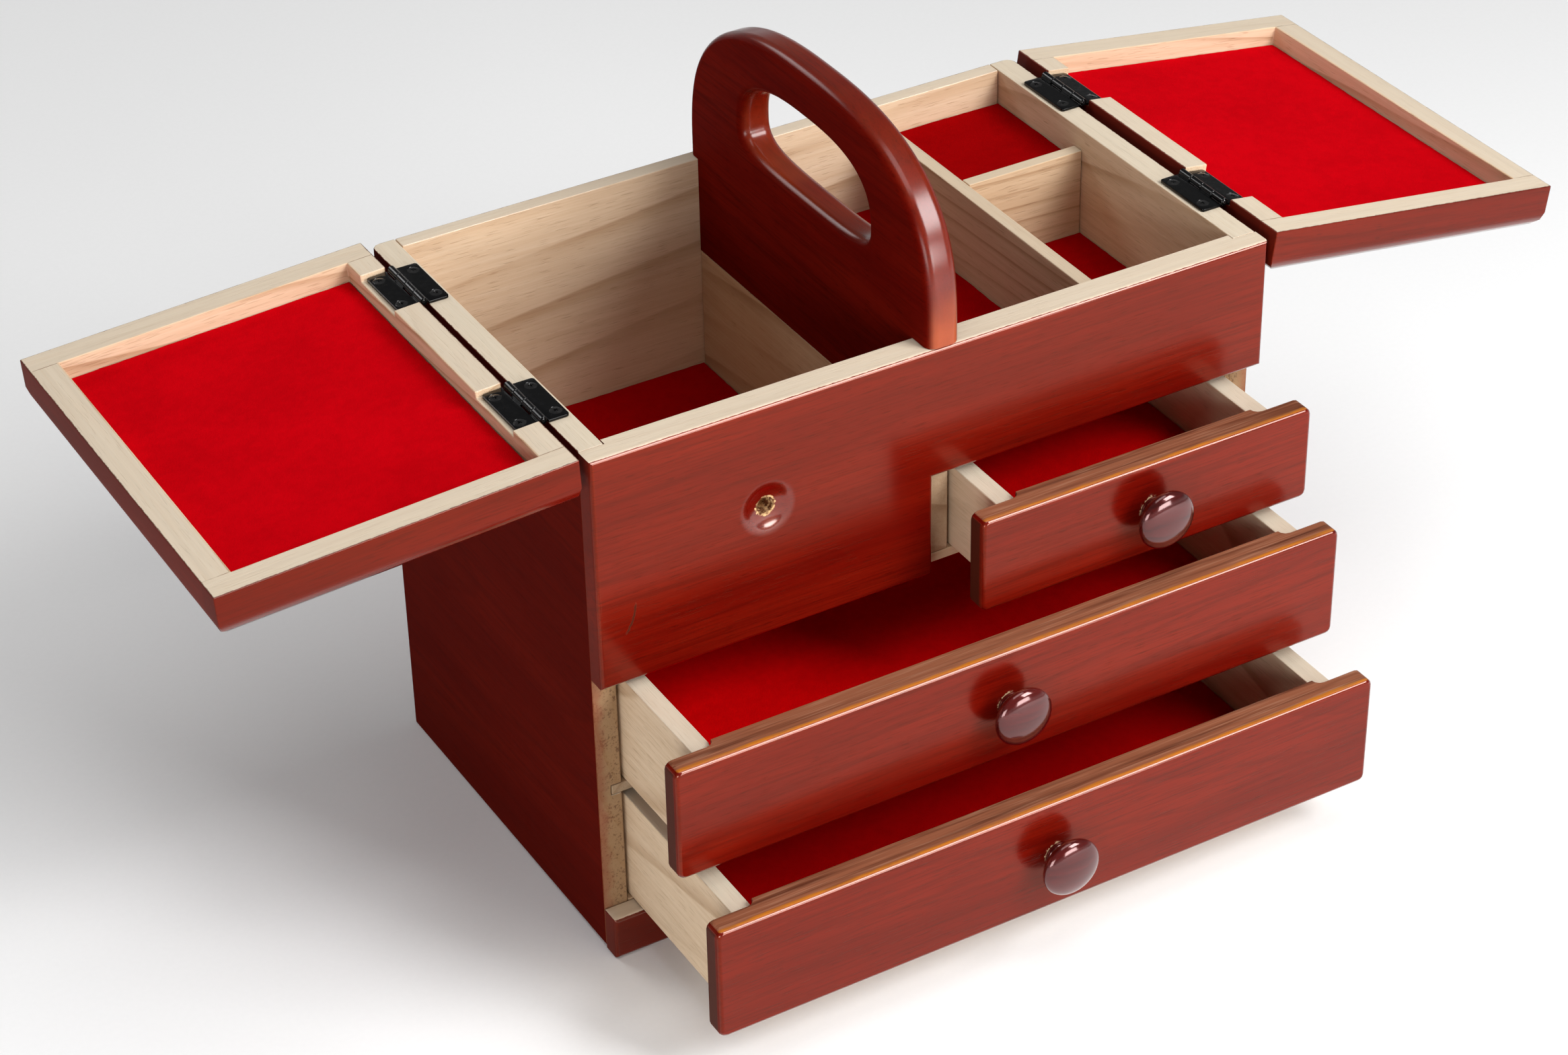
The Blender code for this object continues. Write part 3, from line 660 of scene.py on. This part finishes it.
def temporary(bm):
    """A temporary object with this bmesh as its mesh."""
    mesh = bpy.data.meshes.new("temporary")
    bm.to_mesh(mesh)
    bm.free()
    return link("temporary", mesh)


def solid(bm):
    """A temporary object for use in a Boolean."""
    bmesh.ops.recalc_face_normals(bm, faces=bm.faces)
    return temporary(bm)


def box_solid(low, high):
    bm = bmesh.new()
    box_mesh(bm, low, high)
    return solid(bm)


def modified(base, tools=()):
    """The bmesh of an object after its modifiers. The object and its tools are removed."""
    graph = bpy.context.evaluated_depsgraph_get()
    bm = bmesh.new()
    bm.from_mesh(base.evaluated_get(graph).to_mesh())
    for used in (base, *tools):
        mesh = used.data
        bpy.data.objects.remove(used)
        bpy.data.meshes.remove(mesh)
    return bm


def carved(base, steps):
    """The base's bmesh after each (operation, tool) Boolean. The temporary objects are removed."""
    for operation, tool in steps:
        modifier = base.modifiers.new("step", "BOOLEAN")
        modifier.operation = operation
        modifier.solver = "EXACT"
        modifier.object = tool
    bm = modified(base, [tool for _, tool in steps])
    bmesh.ops.remove_doubles(bm, verts=bm.verts, dist=SAME)
    return bm


def lid_turn(word):
    """(where the hinge pin is, how far the lid is turned about Y from level)."""
    joint = JOINTS[f"{word}_lid_hinge"]
    droop = math.radians(joint["range_deg"][1] - 180)
    return Vector(joint["pos_m"]), -droop if word == "left" else droop


def lid_matrix(word):
    place, angle = lid_turn(word)
    return Matrix.Translation(place) @ Matrix.Rotation(angle, 4, "Y")


def box_in(node, matrix):
    """Lowest and highest corners of a node in the frame of the matrix."""
    back = matrix.inverted()
    points = [back @ vert.co for vert in NODES[node].data.vertices]
    return (
        Vector([min(p[i] for p in points) for i in range(3)]),
        Vector([max(p[i] for p in points) for i in range(3)]),
    )


# ---------------------------------------------------------------- CAD boards that stay


def smoothing_nodes():
    """Geometry nodes that weld a board's corners and shade it smooth."""
    tree = bpy.data.node_groups.new("weld_and_smooth", "GeometryNodeTree")
    tree.interface.new_socket("Geometry", in_out="INPUT", socket_type="NodeSocketGeometry")
    tree.interface.new_socket("Geometry", in_out="OUTPUT", socket_type="NodeSocketGeometry")
    source, result = tree.nodes.new("NodeGroupInput"), tree.nodes.new("NodeGroupOutput")
    merge = tree.nodes.new("GeometryNodeMergeByDistance")
    merge.inputs["Distance"].default_value = 0.01 * MM
    smooth = tree.nodes.new("GeometryNodeSetShadeSmooth")
    tree.links.new(source.outputs[0], merge.inputs[0])
    tree.links.new(merge.outputs[0], smooth.inputs[0])
    tree.links.new(smooth.outputs[0], result.inputs[0])
    return tree


SMOOTHING = smoothing_nodes()


def dress(node, material, edge=0.45 * MM):
    """Gives a CAD board its material and fine rounded edges."""
    board = NODES[node]
    board.material_slots[0].material = material
    board.modifiers.new("weld", "NODES").node_group = SMOOTHING
    flat = board.modifiers.new("flat", "DECIMATE")
    flat.decimate_type = "DISSOLVE"
    flat.angle_limit = math.radians(1)
    soft = board.modifiers.new("edges", "BEVEL")
    soft.width = edge
    soft.segments = 2
    soft.limit_method = "ANGLE"
    soft.angle_limit = math.radians(50)
    normals = board.modifiers.new("normals", "WEIGHTED_NORMAL")
    normals.mode = "FACE_AREA_WITH_ANGLE"
    normals.weight = 80


def dress_carcass():
    for word, side, outward in (("left", -1, "-x"), ("right", 1, "+x")):
        planes = [(outward, side * SIDE_X), ("+y", BACK_Y)]
        look = finished_wood(
            f"side_wood_{word}", "yzx", 3 + side, [outward, "+y", "-z"], planes,
            extra=speckled_edge(side), dark=0.5, gloss=0.05, pitch=9 * MM, heart=(0.12, 0.03),
        )
        dress(f"side_{word}", look)
        dress(f"drawer_runner_{word}", raw_wood(f"runner_wood_{word}", "yxz", 8 + side, 0.55))
        dress(f"base_runner_{word}", raw_wood(f"low_runner_wood_{word}", "yxz", 11 + side, 0.8))
    look = finished_wood(
        "back_wood", "xzy", 21, ["+y", "-z"], [("+y", BACK_Y)],
        pitch=21 * MM, heart=(0.02, 0.03), tilt=-0.17,
    )
    dress("back_panel", look)
    ways = ["-y", "-x", "+x", "-z"]
    dress("bottom_rail", finished_wood("rail_wood", "xzy", 24, ways, [("-y", FRONT_Y)], dark=0.45))
    dress("base_board", raw_wood("base_wood", "xyz", 26, 0.9))
    dress("main_floor", raw_wood("floor_wood", "xyz", 27, 0.95))
    look = raw_wood("partition_wood", "yzx", 31, 0.74, rim=True, pitch=19 * MM, tilt=0.3)
    dress("partition_panel", look)
    dress("tray_floor", raw_wood("tray_wood", "xyz", 33))
    dress("long_divider", raw_wood("long_divider_wood", "yzx", 35, 0.92, rim=True))
    dress("cross_divider", raw_wood("cross_divider_wood", "xzy", 37, 0.95, rim=True))
    dress("raised_shelf", raw_wood("shelf_wood", "xyz", 39))


def dress_drawers():
    ways = ["-y", "-x", "+x", "+z", "-z"]
    for count, word in enumerate(("small", "middle", "bottom")):
        drawer = f"{word}_drawer"
        low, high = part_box(f"{word}_knob")
        knob = ((low.x + high.x) / 2, (low.z + high.z) / 2)
        extra = stained_top(knob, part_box(f"{drawer}_front")[0].y)
        look = finished_wood(
            f"{word}_front_wood", "xzy", 41 + 2 * count, ways, [],
            extra=extra, pitch=8 * MM, heart=(0.05 * count, 0.05),
        )
        dress(f"{drawer}_front", look, edge=0.3 * MM)
        for index, end in enumerate(("side_left", "side_right")):
            look = raw_wood(
                f"{word}_{end}_wood", "yzx", 51 + 4 * count + index, rim=True,
                pitch=17 * MM, heart=(0.14, 0.035), tilt=0.16,
            )
            dress(f"{drawer}_{end}", look)
        dress(f"{drawer}_back", raw_wood(f"{word}_back_wood", "xzy", 65 + count, rim=True))
        dress(f"{drawer}_bottom", raw_wood(f"{word}_bottom_wood", "xyz", 70 + count))


def dress_lids():
    """The lids are drawn open, so their outer faces point down."""
    for word, side in (("left", -1), ("right", 1)):
        turn = lid_turn(word)
        low, high = box_in(f"{word}_lid_frame", lid_matrix(word))
        if side < 0:
            outer, inner, out_way, in_way = low.x, high.x, "-x", "+x"
        else:
            outer, inner, out_way, in_way = high.x, low.x, "+x", "-x"
        reach = high.y - LID_FRAME_Y
        outside = ("-z", low.z)
        planes = [(out_way, outer), (in_way, inner), ("-y", low.y), ("+y", high.y), outside]
        look = finished_wood(
            f"{word}_lid_wood", "xyz", 80 + side, ["-x", "+x", "-y", "+y", "-z"], planes,
            turn=turn, extra=lid_joints(side, outer, inner, low.z, reach),
            dark=0.25, gloss=0.8, rails=reach,
        )
        dress(f"{word}_lid_frame", look)
        look = finished_wood(f"{word}_panel_wood", "xyz", 84 + side, ["-z"], [outside], turn=turn)
        dress(f"{word}_lid_panel", look)


# ---------------------------------------------------------------- handle and front panel


def arch(half_width, height, power, count):
    """Points along half of a superellipse, from +X over the top to -X."""
    made = []
    for index in range(count):
        angle = math.pi * index / (count - 1)
        across, up = math.cos(angle), math.sin(angle)
        across = math.copysign(abs(across) ** (2 / power), across)
        made.append((half_width * across, height * abs(up) ** (2 / power)))
    return made


def outline_mesh(outlines, thickness, edge_round, resolution, matrix):
    """A filled outline with a thickness and rounded edges."""
    curve = bpy.data.curves.new("outline", "CURVE")
    curve.dimensions = "2D"
    curve.fill_mode = "BOTH"
    curve.extrude = thickness / 2 - edge_round
    curve.bevel_depth = edge_round
    curve.bevel_resolution = resolution
    curve.offset = -edge_round
    for outline in outlines:
        spline = curve.splines.new("POLY")
        spline.points.add(len(outline) - 1)
        for point, (x, y) in zip(spline.points, outline):
            point.co = (x, y, 0, 1)
        spline.use_cyclic_u = True
    drawn = link("outline", curve)
    graph = bpy.context.evaluated_depsgraph_get()
    bm = bmesh.new()
    bm.from_mesh(drawn.evaluated_get(graph).to_mesh())
    bpy.data.objects.remove(drawn)
    bmesh.ops.remove_doubles(bm, verts=bm.verts, dist=SAME)
    bm.transform(matrix)
    return bm


def make_handle():
    """The handle board: an arch with a hand slot above the rim, square shoulders below it."""
    low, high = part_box("handle_board")
    edge, spring, slot_z = 4.5 * MM, 240 * MM, 265 * MM
    slot_half, slot_up, slot_down = 47.5 * MM, 24 * MM, 11 * MM
    foot = RIM_Z - 2 * edge
    outer = [(x, spring + up) for x, up in arch(high.y, high.z - spring, 2.6, 181)]
    outer += [(low.y, foot), (high.y, foot)]
    slot = [(x, slot_z + up) for x, up in arch(slot_half, slot_up, 2.7, 81)]
    slot += [(-x, slot_z - up) for x, up in arch(slot_half, slot_down, 3.5, 81)[1:-1]]
    upright = Matrix(((0, 0, 1, 0), (1, 0, 0, 0), (0, 1, 0, 0), (0, 0, 0, 1)))
    matrix = Matrix.Translation(((low.x + high.x) / 2, 0, 0)) @ upright
    board = solid(outline_mesh([outer, slot], high.x - low.x, edge, 6, matrix))

    inner_front, inner_back = -79.7 * MM, 84.7 * MM  # the inner faces of the front and the back
    over, seat = 20 * MM, RIM_Z + 0.3 * MM
    left, right, under = low.x - over, high.x + over, low.z - over
    lower = box_solid((low.x, inner_front, low.z), (high.x, inner_back, RIM_Z - edge / 2))
    before = box_solid((left, low.y - over, under), (right, inner_front, seat))
    behind = box_solid((left, inner_back, under), (right, high.y + over, seat))
    bm = carved(board, [("UNION", lower), ("DIFFERENCE", before), ("DIFFERENCE", behind)])
    look = finished_wood(
        "handle_wood", "yzx", 91, ["-x", "+x", "-y", "+y", "+z", "-z"], [], dark=0.10,
        gloss=0.05, coat_rough=0.24, extra=worn_handle, pitch=9 * MM, heart=(0.25, 0.03),
    )
    lacquered_board("handle", bm, look, "handle_board")


def dish_profile():
    """The round dish of the front panel: (radius, depth) from its middle, over a rounded lip."""
    depth, dish, lip = 2.6 * MM, 10.3 * MM, 2.2 * MM
    start = depth * (1 - ((dish - lip) / dish) ** 2)
    profile = [(0.0, depth)]
    for index in range(1, 25):
        radius = (dish + lip) * index / 24
        if radius < dish - lip:
            sink = depth * (1 - (radius / dish) ** 2)
        else:
            sink = start * (1 - (radius - dish + lip) / (2 * lip)) ** 2
        profile.append((radius, sink))
    brim, above = dish + lip + 1 * MM, -6 * MM
    return profile + [(brim, -0.02 * MM), (brim, above), (0.0, above)]


def screw_hole():
    """A ragged hole from the front face inward, a little wider at its mouth."""
    inward, outward = 10 * MM, -4 * MM
    profile = [(0.0, inward), (3.3 * MM, inward), (3.6 * MM, 4 * MM), (4.0 * MM, outward)]
    bm = turned_mesh([*profile, (0.0, outward)], 40)
    for vert in bm.verts:
        wobble = 1 + 0.10 * noise.noise(vert.co * 450)
        vert.co.x *= wobble
        vert.co.y *= wobble
    return bm


def make_front_panel():
    """The front panel: a notch for the small drawer, rebated ends, a dish and an empty hole."""
    low, high = LOW, HIGH
    notch_left, notch_top = -4.3 * MM, 175.8 * MM
    corners = (
        (low.x, low.z), (notch_left, low.z), (notch_left, notch_top),
        (high.x, notch_top), (high.x, high.z), (low.x, high.z),
    )
    bm = bmesh.new()
    front = bm.faces.new([bm.verts.new((x, low.y, z)) for x, z in corners])
    made = bmesh.ops.extrude_face_region(bm, geom=[front])["geom"]
    back = [item for item in made if isinstance(item, bmesh.types.BMVert)]
    bmesh.ops.translate(bm, vec=(0, high.y - low.y, 0), verts=back)
    bmesh.ops.recalc_face_normals(bm, faces=bm.faces)
    bevel(bm, edges_at(bm.edges, "y", low.y), 1.8 * MM, 6)
    panel = solid(bm)

    lip, over, inside = 8.7 * MM, 20 * MM, 139.2 * MM
    steps = []
    for side in (-1, 1):
        near, far = sorted((side * inside, side * (SIDE_X + over)))
        rebate = box_solid(
            (near, low.y + lip, low.z - over), (far, high.y + over, high.z + over)
        )
        steps.append(("DIFFERENCE", rebate))
    for bm in (turned_mesh(dish_profile(), 96), screw_hole()):
        steps.append(("DIFFERENCE", solid(lay(bm, (HOLE_X, low.y, HOLE_Z), -1))))
    look = finished_wood(
        "front_panel_wood", "xzy", 95, ["-y", "-x", "+x", "-z"], [("-y", FRONT_Y)],
        extra=torn_hole, pitch=8 * MM, heart=(0.26, 0.06),
    )
    lacquered_board("front_board", carved(panel, steps), look, "front_panel", 30.0)


def make_splinters():
    """Bits of torn wood that stand at the mouth of the empty hole."""
    look = fibrous(
        "torn_wood", 1500.0, 2.0, 0.6, (0.4, 0.7), (SPLINTER_LIGHT, SPLINTER_DARK),
        rough=0.7, relief=0.6, specular=0.3,
    )
    bm = bmesh.new()
    count = 16
    for index in range(count):
        angle = 2 * math.pi * index / count + 0.3 * noise.noise(Vector((index * 1.7, 0.2, 0)))
        length = (1.5 + 1.3 * noise.noise(Vector((index * 2.3, 3.1, 0.4)))) * MM
        width = (0.45 + 0.3 * noise.noise(Vector((index * 1.3, 7.7, 1.4)))) * MM
        lean = 0.55 + 0.45 * noise.noise(Vector((index * 0.9, 5.5, 2.0)))
        outward = Vector((math.cos(angle), 0, math.sin(angle)))
        along = Vector((-outward.z, 0, outward.x))
        root = Vector((HOLE_X, FRONT_Y + 3.7 * MM, HOLE_Z)) + outward * 3.75 * MM
        tip = root - outward * length * lean + Vector((0, -0.9 * length, 0)) + along * width * 0.8
        ring = []
        for aside, back, out in ((1, -0.2, 0), (-1, -0.1, 0), (-0.6, 0.5, 0.3), (0.7, 0.5, 0.3)):
            offset = Vector((0, back * MM, 0)) + outward * out * MM
            ring.append(bm.verts.new(root + along * aside * width + offset))
        middle = [bm.verts.new(vert.co.lerp(tip, 0.55) + along * 0.12 * MM) for vert in ring]
        point = bm.verts.new(tip)
        bm.faces.new(ring)
        for first, second in ((0, 1), (1, 2), (2, 3), (3, 0)):
            bm.faces.new((ring[first], ring[second], middle[second], middle[first]))
            bm.faces.new((middle[first], middle[second], point))
    piece("hole_splinters", finished_mesh("hole_splinters", bm, look), "box")


# ---------------------------------------------------------------- knobs


def knob_profile(radius, top, tail):
    """A flattened ball on a waisted neck, with a tenon that ends at the height tail."""
    widest, under = 9.4 * MM, 4.4 * MM
    neck, foot, tenon = 4.6 * MM, 5.6 * MM, 3.5 * MM
    profile = [(0.0, top)]
    for sine, cosine in quarter(20):
        profile.append((radius * sine, widest + (top - widest) * cosine))
    for sine, cosine in quarter(12):
        profile.append((neck + (radius - neck) * cosine, widest - under * sine))
    for sine, cosine in quarter(6):
        profile.append((neck + (foot - neck) * (1 - cosine), 3.4 * MM - 2.2 * MM * sine))
    profile += [(foot + 0.15 * MM, 0.35 * MM), (foot, 0.12 * MM), (tenon, 0.1 * MM)]
    return profile + [(tenon, tail + 0.4 * MM), (tenon - 0.4 * MM, tail), (0.0, tail)]


def make_knobs():
    look = knob_lacquer()
    for word in ("small", "middle", "bottom"):
        low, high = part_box(f"{word}_knob")
        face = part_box(f"{word}_drawer_front")[0].y
        bm = turned_mesh(knob_profile((high.x - low.x) / 2, face - low.y, face - high.y), 96)
        lay(bm, ((low.x + high.x) / 2, face, (low.z + high.z) / 2), 1)
        name = f"{word}_turned_knob"
        mesh = finished_mesh(name, bm, look, 50.0)
        piece(name, mesh, f"{word}_drawer", [f"{word}_knob"])


# ---------------------------------------------------------------- felt


def felt_surface(low, high, top, seed, curl):
    """A slightly wavy grid with an uneven cut edge, which curl lifts near the edge."""
    width, length = high.x - low.x, high.y - low.y
    cell, curl_width = 2.5 * MM, 14 * MM
    columns, rows = (max(8, round(size / cell)) for size in (width, length))
    bm = bmesh.new()
    grid = []
    for row in range(rows + 1):
        line = []
        for column in range(columns + 1):
            x = low.x + width * column / columns
            y = low.y + length * row / rows
            spot = Vector((x * 60 + seed, y * 60 - seed, seed * 0.7))
            rise = 0.12 * MM * noise.noise(spot) + 0.05 * MM * noise.noise(spot * 9)
            near = min(x - low.x, high.x - x, y - low.y, high.y - y)
            lift = curl * max(0.0, 1 - near / curl_width) ** 2
            lift *= 0.5 + 0.5 * noise.noise(Vector((x * 25, y * 25, seed)))
            if min(column, columns - column, row, rows - row) == 0:
                pull = 0.35 * MM * (0.6 + 0.8 * noise.noise(Vector((x * 300, y * 300, seed))))
                x += pull if column == 0 else -pull if column == columns else 0.0
                y += pull if row == 0 else -pull if row == rows else 0.0
                rise -= 0.12 * MM
            line.append(bm.verts.new((x, y, top + rise + lift)))
        grid.append(line)
    for upper, lower in zip(grid, grid[1:]):
        for index in range(columns):
            bm.faces.new((upper[index], upper[index + 1], lower[index + 1], lower[index]))
    return bm


def felt_sheet(name, node, body, colour, seed, matrix=None, curl=0.0):
    """A cut sheet of felt, a little uneven, in the space of its CAD solid."""
    low, high = box_in(node, matrix or Matrix.Identity(4))
    sheet = temporary(felt_surface(low, high, high.z - 0.1 * MM, seed, curl))
    thick = sheet.modifiers.new("thick", "SOLIDIFY")
    thick.thickness = 1.0 * MM
    thick.offset = -1
    mesh = finished_mesh(name, modified(sheet), felt(f"{name}_look", colour, seed), 60.0)
    made = piece(name, mesh, body, [node], matrix)


def card_under(node, look):
    """The card below a tray's felt, in the lower part of the felt's CAD solid."""
    low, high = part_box(node)
    inset, top = 0.2 * MM, high.z - 1.35 * MM
    bm = bmesh.new()
    box_mesh(
        bm, (low.x + inset, low.y + inset, low.z + 0.05 * MM), (high.x - inset, high.y - inset, top)
    )
    bevel(bm, edges_at(bm.edges, "z", top), 0.15 * MM, 2)
    name = f"{node}_card"
    piece(name, finished_mesh(name, bm, look), "box")


def make_felts():
    card = fibrous(
        "grey_card", 900.0, 3.0, 0.7, (0.35, 0.7), (CARD_LIGHT, CARD_DARK),
        rough=0.85, relief=0.4, specular=0.2,
    )
    curls = {"left": 0.1 * MM, "middle": 0.1 * MM, "cell": 0.1 * MM, "shelf": 0.9 * MM}
    for seed, (word, curl) in enumerate(curls.items(), 3):
        node = f"felt_{word}"
        felt_sheet(f"{word}_tray_felt", node, "box", TRAY_RED_SHADED, seed, curl=curl)
        card_under(node, card)
    for seed, (word, colour) in enumerate(DRAWER_REDS_LIT_AND_SHADED.items(), 10):
        drawer = f"{word}_drawer"
        felt_sheet(f"{drawer}_lining", f"{drawer}_felt", drawer, colour, seed)
    for seed, word in enumerate(("left", "right"), 16):
        lid, matrix = f"{word}_lid", lid_matrix(word)
        felt_sheet(f"{lid}_lining", f"{lid}_felt", lid, LID_RED, seed, matrix)


# ---------------------------------------------------------------- hinges

KNUCKLES = 4
LEAF_NEAR, LEAF_FAR = 2.1 * MM, 10.8 * MM  # a plate's edges, out from the pin
LEAF_LOW, LEAF_TOP = -1.3 * MM, -0.3 * MM
SCREW_OUT, SCREW_ALONG = 7.4 * MM, 10 * MM  # a screw's place, out from the pin and from the middle


def make_screw_mesh(look):
    """A countersunk screw head with a cross recess, its top at the origin."""
    head, dome, shank, depth = 2.5 * MM, 0.32 * MM, 1.1 * MM, 1.3 * MM
    profile = [(0.0, dome)]
    for index in range(1, 9):
        share = index / 8
        profile.append((head * share, dome * (1 - share**2) + 0.02 * MM))
    profile += [(head, -0.12 * MM), (shank, -depth), (0.0, -depth)]
    body = solid(turned_mesh(profile, 40))
    steps = []
    for angle in (0, math.pi / 2):
        bm = bmesh.new()
        verts = box_mesh(bm, Vector((-1.45, -0.3, -0.75)) * MM, Vector((1.45, 0.3, 1.0)) * MM)
        for vert in verts:
            if vert.co.z < 0:
                vert.co.x *= 0.35
        bmesh.ops.rotate(bm, matrix=Matrix.Rotation(angle + 0.6, 3, "Z"), verts=bm.verts)
        steps.append(("DIFFERENCE", solid(bm)))
    return finished_mesh("screw", carved(body, steps), look, 30.0)


def leaf_mesh(name, direction, middle, half, knuckles, look, screws):
    """A hinge leaf: plate with rounded corners, its curled knuckles and its countersunk holes.

    The frame has its origin at the pin's height and place, and direction is the way the plate goes.
    The pin runs from middle - half to middle + half, and knuckles counts from its back end."""
    far = direction * LEAF_FAR
    near, end = sorted((direction * LEAF_NEAR, far))
    bm = bmesh.new()
    box_mesh(bm, (near, middle - half, LEAF_LOW), (end, middle + half, LEAF_TOP))
    upright = [e for e in bm.edges if abs(e.verts[0].co.z - e.verts[1].co.z) > SAME]
    bevel(bm, edges_at(upright, "x", far), 1.3 * MM, 5)
    bevel(bm, edges_at(bm.edges, "z", LEAF_TOP), 0.22 * MM, 2)
    plate = solid(bm)

    steps = []
    pitch = 2 * half / KNUCKLES
    reach, chamfer, inset = pitch / 2 - 0.12 * MM, 0.18 * MM, 0.1 * MM
    for index in knuckles:
        centre = middle + half - pitch * (index + 0.5)
        barrel = turned_mesh(pin_profile(1.6 * MM, reach, chamfer), 40)
        start, stop = sorted((direction * 0.9 * MM, direction * 2.45 * MM))
        tab = box_solid(
            (start, centre - reach + inset, -1.22 * MM), (stop, centre + reach - inset, -0.38 * MM)
        )
        steps += [("UNION", tab), ("UNION", solid(lay(barrel, (0, centre, 0), 1)))]
    bore, long = 1.1 * MM, 40 * MM
    hole = turned_mesh([(0.0, long), (bore, long), (bore, -long), (0.0, -long)], 40)
    steps.append(("DIFFERENCE", solid(lay(hole, (0, middle, 0), 1))))
    over, under = 0.5 * MM, -1.4 * MM
    cone = [(0.0, over), (2.9 * MM, over), (2.62 * MM, 0.0), (1.5 * MM, under), (0.0, under)]
    for x, y in screws:
        sink = turned_mesh(cone, 32)
        sink.transform(Matrix.Translation((x, y, LEAF_TOP)))
        steps.append(("DIFFERENCE", solid(sink)))
    return finished_mesh(name, carved(plate, steps), look, 30.0)


def make_hinges():
    enamel = black_enamel("black_enamel", ENAMEL, 0.14)
    steel = black_enamel("screw_black", STEEL, 0.12, 0.9)
    screw = make_screw_mesh(steel)
    hinges = [(word, side, place) for word, side in (("left", -1), ("right", 1))
              for place in ("back", "front")]
    for word, side, place in hinges:
        hinge = f"hinge_{word}_{place}"
        lid = lid_matrix(word)
        level = Matrix.Translation(lid.translation)
        low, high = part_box(f"{hinge}_pin")
        middle, half = (low.y + high.y) / 2, (high.y - low.y) / 2
        for kind, body, matrix, direction, knuckles in (
            ("box", "box", level, -side, (0, 2)), ("lid", f"{word}_lid", lid, side, (1, 3)),
        ):
            spots = [(direction * SCREW_OUT, middle + step * SCREW_ALONG) for step in (-1, 1)]
            name = f"{hinge}_{kind}_detailed_leaf"
            mesh = leaf_mesh(name, direction, middle, half, knuckles, enamel, spots)
            piece(name, mesh, body, [f"{hinge}_{kind}_leaf"], matrix)
            for number, (x, y) in enumerate(spots):
                spot = matrix @ Matrix.Translation((x, y, -0.42 * MM))
                spot = spot @ Matrix.Rotation(0.7 * number + 1.3 * side + y * 90, 4, "Z")
                piece(f"{hinge}_{kind}_leaf_screw_{number}", screw, body, (), spot)
        bm = turned_mesh(pin_profile(0.9 * MM, half - 0.1 * MM, 0.2 * MM), 32)
        lay(bm, level.translation + Vector((0, middle, 0)), 1)
        name = f"{hinge}_rod"
        piece(name, finished_mesh(name, bm, steel), "box", [f"{hinge}_pin"])


# ---------------------------------------------------------------- studio


def area_light(name, place, target_z, size, power):
    """A light that faces a point above the middle of the box."""
    light = bpy.data.lights.new(name, "AREA")
    light.shape = "RECTANGLE"
    light.size, light.size_y = size
    light.energy = power
    made = link(name, light)
    made.location = place
    away = Vector(place) - Vector((0, 0, target_z))
    made.rotation_euler = away.to_track_quat("Z", "Y").to_euler()


def make_floor():
    look = fibrous(
        "pale_floor", 400.0, 2.0, 0.5, (0.3, 0.7), (FLOOR_DARK, FLOOR_LIGHT),
        rough=0.9, relief=None, specular=0.1,
    )
    mesh = bpy.data.meshes.new("floor")
    bm = bmesh.new()
    bmesh.ops.create_grid(bm, x_segments=2, y_segments=2, size=6.0)
    bm.to_mesh(mesh)
    bm.free()
    mesh.materials.append(look)
    floor = link("floor", mesh)
    floor.location.z = -0.2 * MM


def make_world():
    """A sky that is bright along the horizon and dim above it, the same all round."""
    world = bpy.data.worlds.new("studio")
    bpy.context.scene.world = world
    world.use_nodes = True
    nodes, links = world.node_tree.nodes, world.node_tree.links
    direction = nodes.new("ShaderNodeTexCoord").outputs["Generated"]
    parts = nodes.new("ShaderNodeSeparateXYZ")
    links.new(direction, parts.inputs[0])
    fade = nodes.new("ShaderNodeMapRange")
    fade.interpolation_type = "SMOOTHSTEP"
    for socket, value in ((1, 0.02), (2, 0.24), (3, 0.62), (4, 0.125)):
        fade.inputs[socket].default_value = value
    links.new(parts.outputs["Z"], fade.inputs[0])
    links.new(fade.outputs[0], nodes["Background"].inputs["Strength"])
    nodes["Background"].inputs["Color"].default_value = (1, 1, 1, 1)
    bpy.context.scene.view_settings.view_transform = "Standard"
    bpy.context.scene.view_settings.look = "None"


def make_studio():
    make_floor()
    area_light("overhead", (0.0, -0.3, 1.6), 0.1, (1.0, 0.9), 7)
    area_light("key", (0.86, -1.35, 1.46), 0.15, (0.9, 0.9), 39)
    area_light("front_box", (0.48, -1.85, 0.52), 0.15, (0.9, 0.5), 16)
    area_light("left_fill", (-1.4, -1.3, 0.40), 0.10, (0.8, 0.6), 12)
    area_light("back_edge", (-0.55, 1.35, 1.20), 0.20, (0.7, 0.5), 6)
    make_world()


def make_camera():
    azimuth, elevation, roll = (math.radians(value) for value in (-29.64, 34.17, -1.25))
    distance, target = 1.5321, Vector((-0.0288, -0.0189, 0.1194))
    flat = math.cos(elevation)
    back = Vector((math.sin(azimuth) * flat, -math.cos(azimuth) * flat, math.sin(elevation)))
    level = (-back).cross(Vector((0, 0, 1))).normalized()
    upright = level.cross(-back)
    right = math.cos(roll) * level + math.sin(roll) * upright
    up = math.cos(roll) * upright - math.sin(roll) * level
    camera = link("camera", bpy.data.cameras.new("camera"))
    camera.data.sensor_width = 36.0
    camera.data.lens = 87.59
    camera.data.clip_start = 0.05
    turn = Matrix((right, up, back)).transposed().to_4x4()
    camera.matrix_world = Matrix.Translation(target + distance * back) @ turn
    bpy.context.scene.camera = camera


make_camera()
make_studio()
dress_carcass()
dress_drawers()
dress_lids()
make_handle()
make_front_panel()
make_splinters()
make_knobs()
make_felts()
make_hinges()
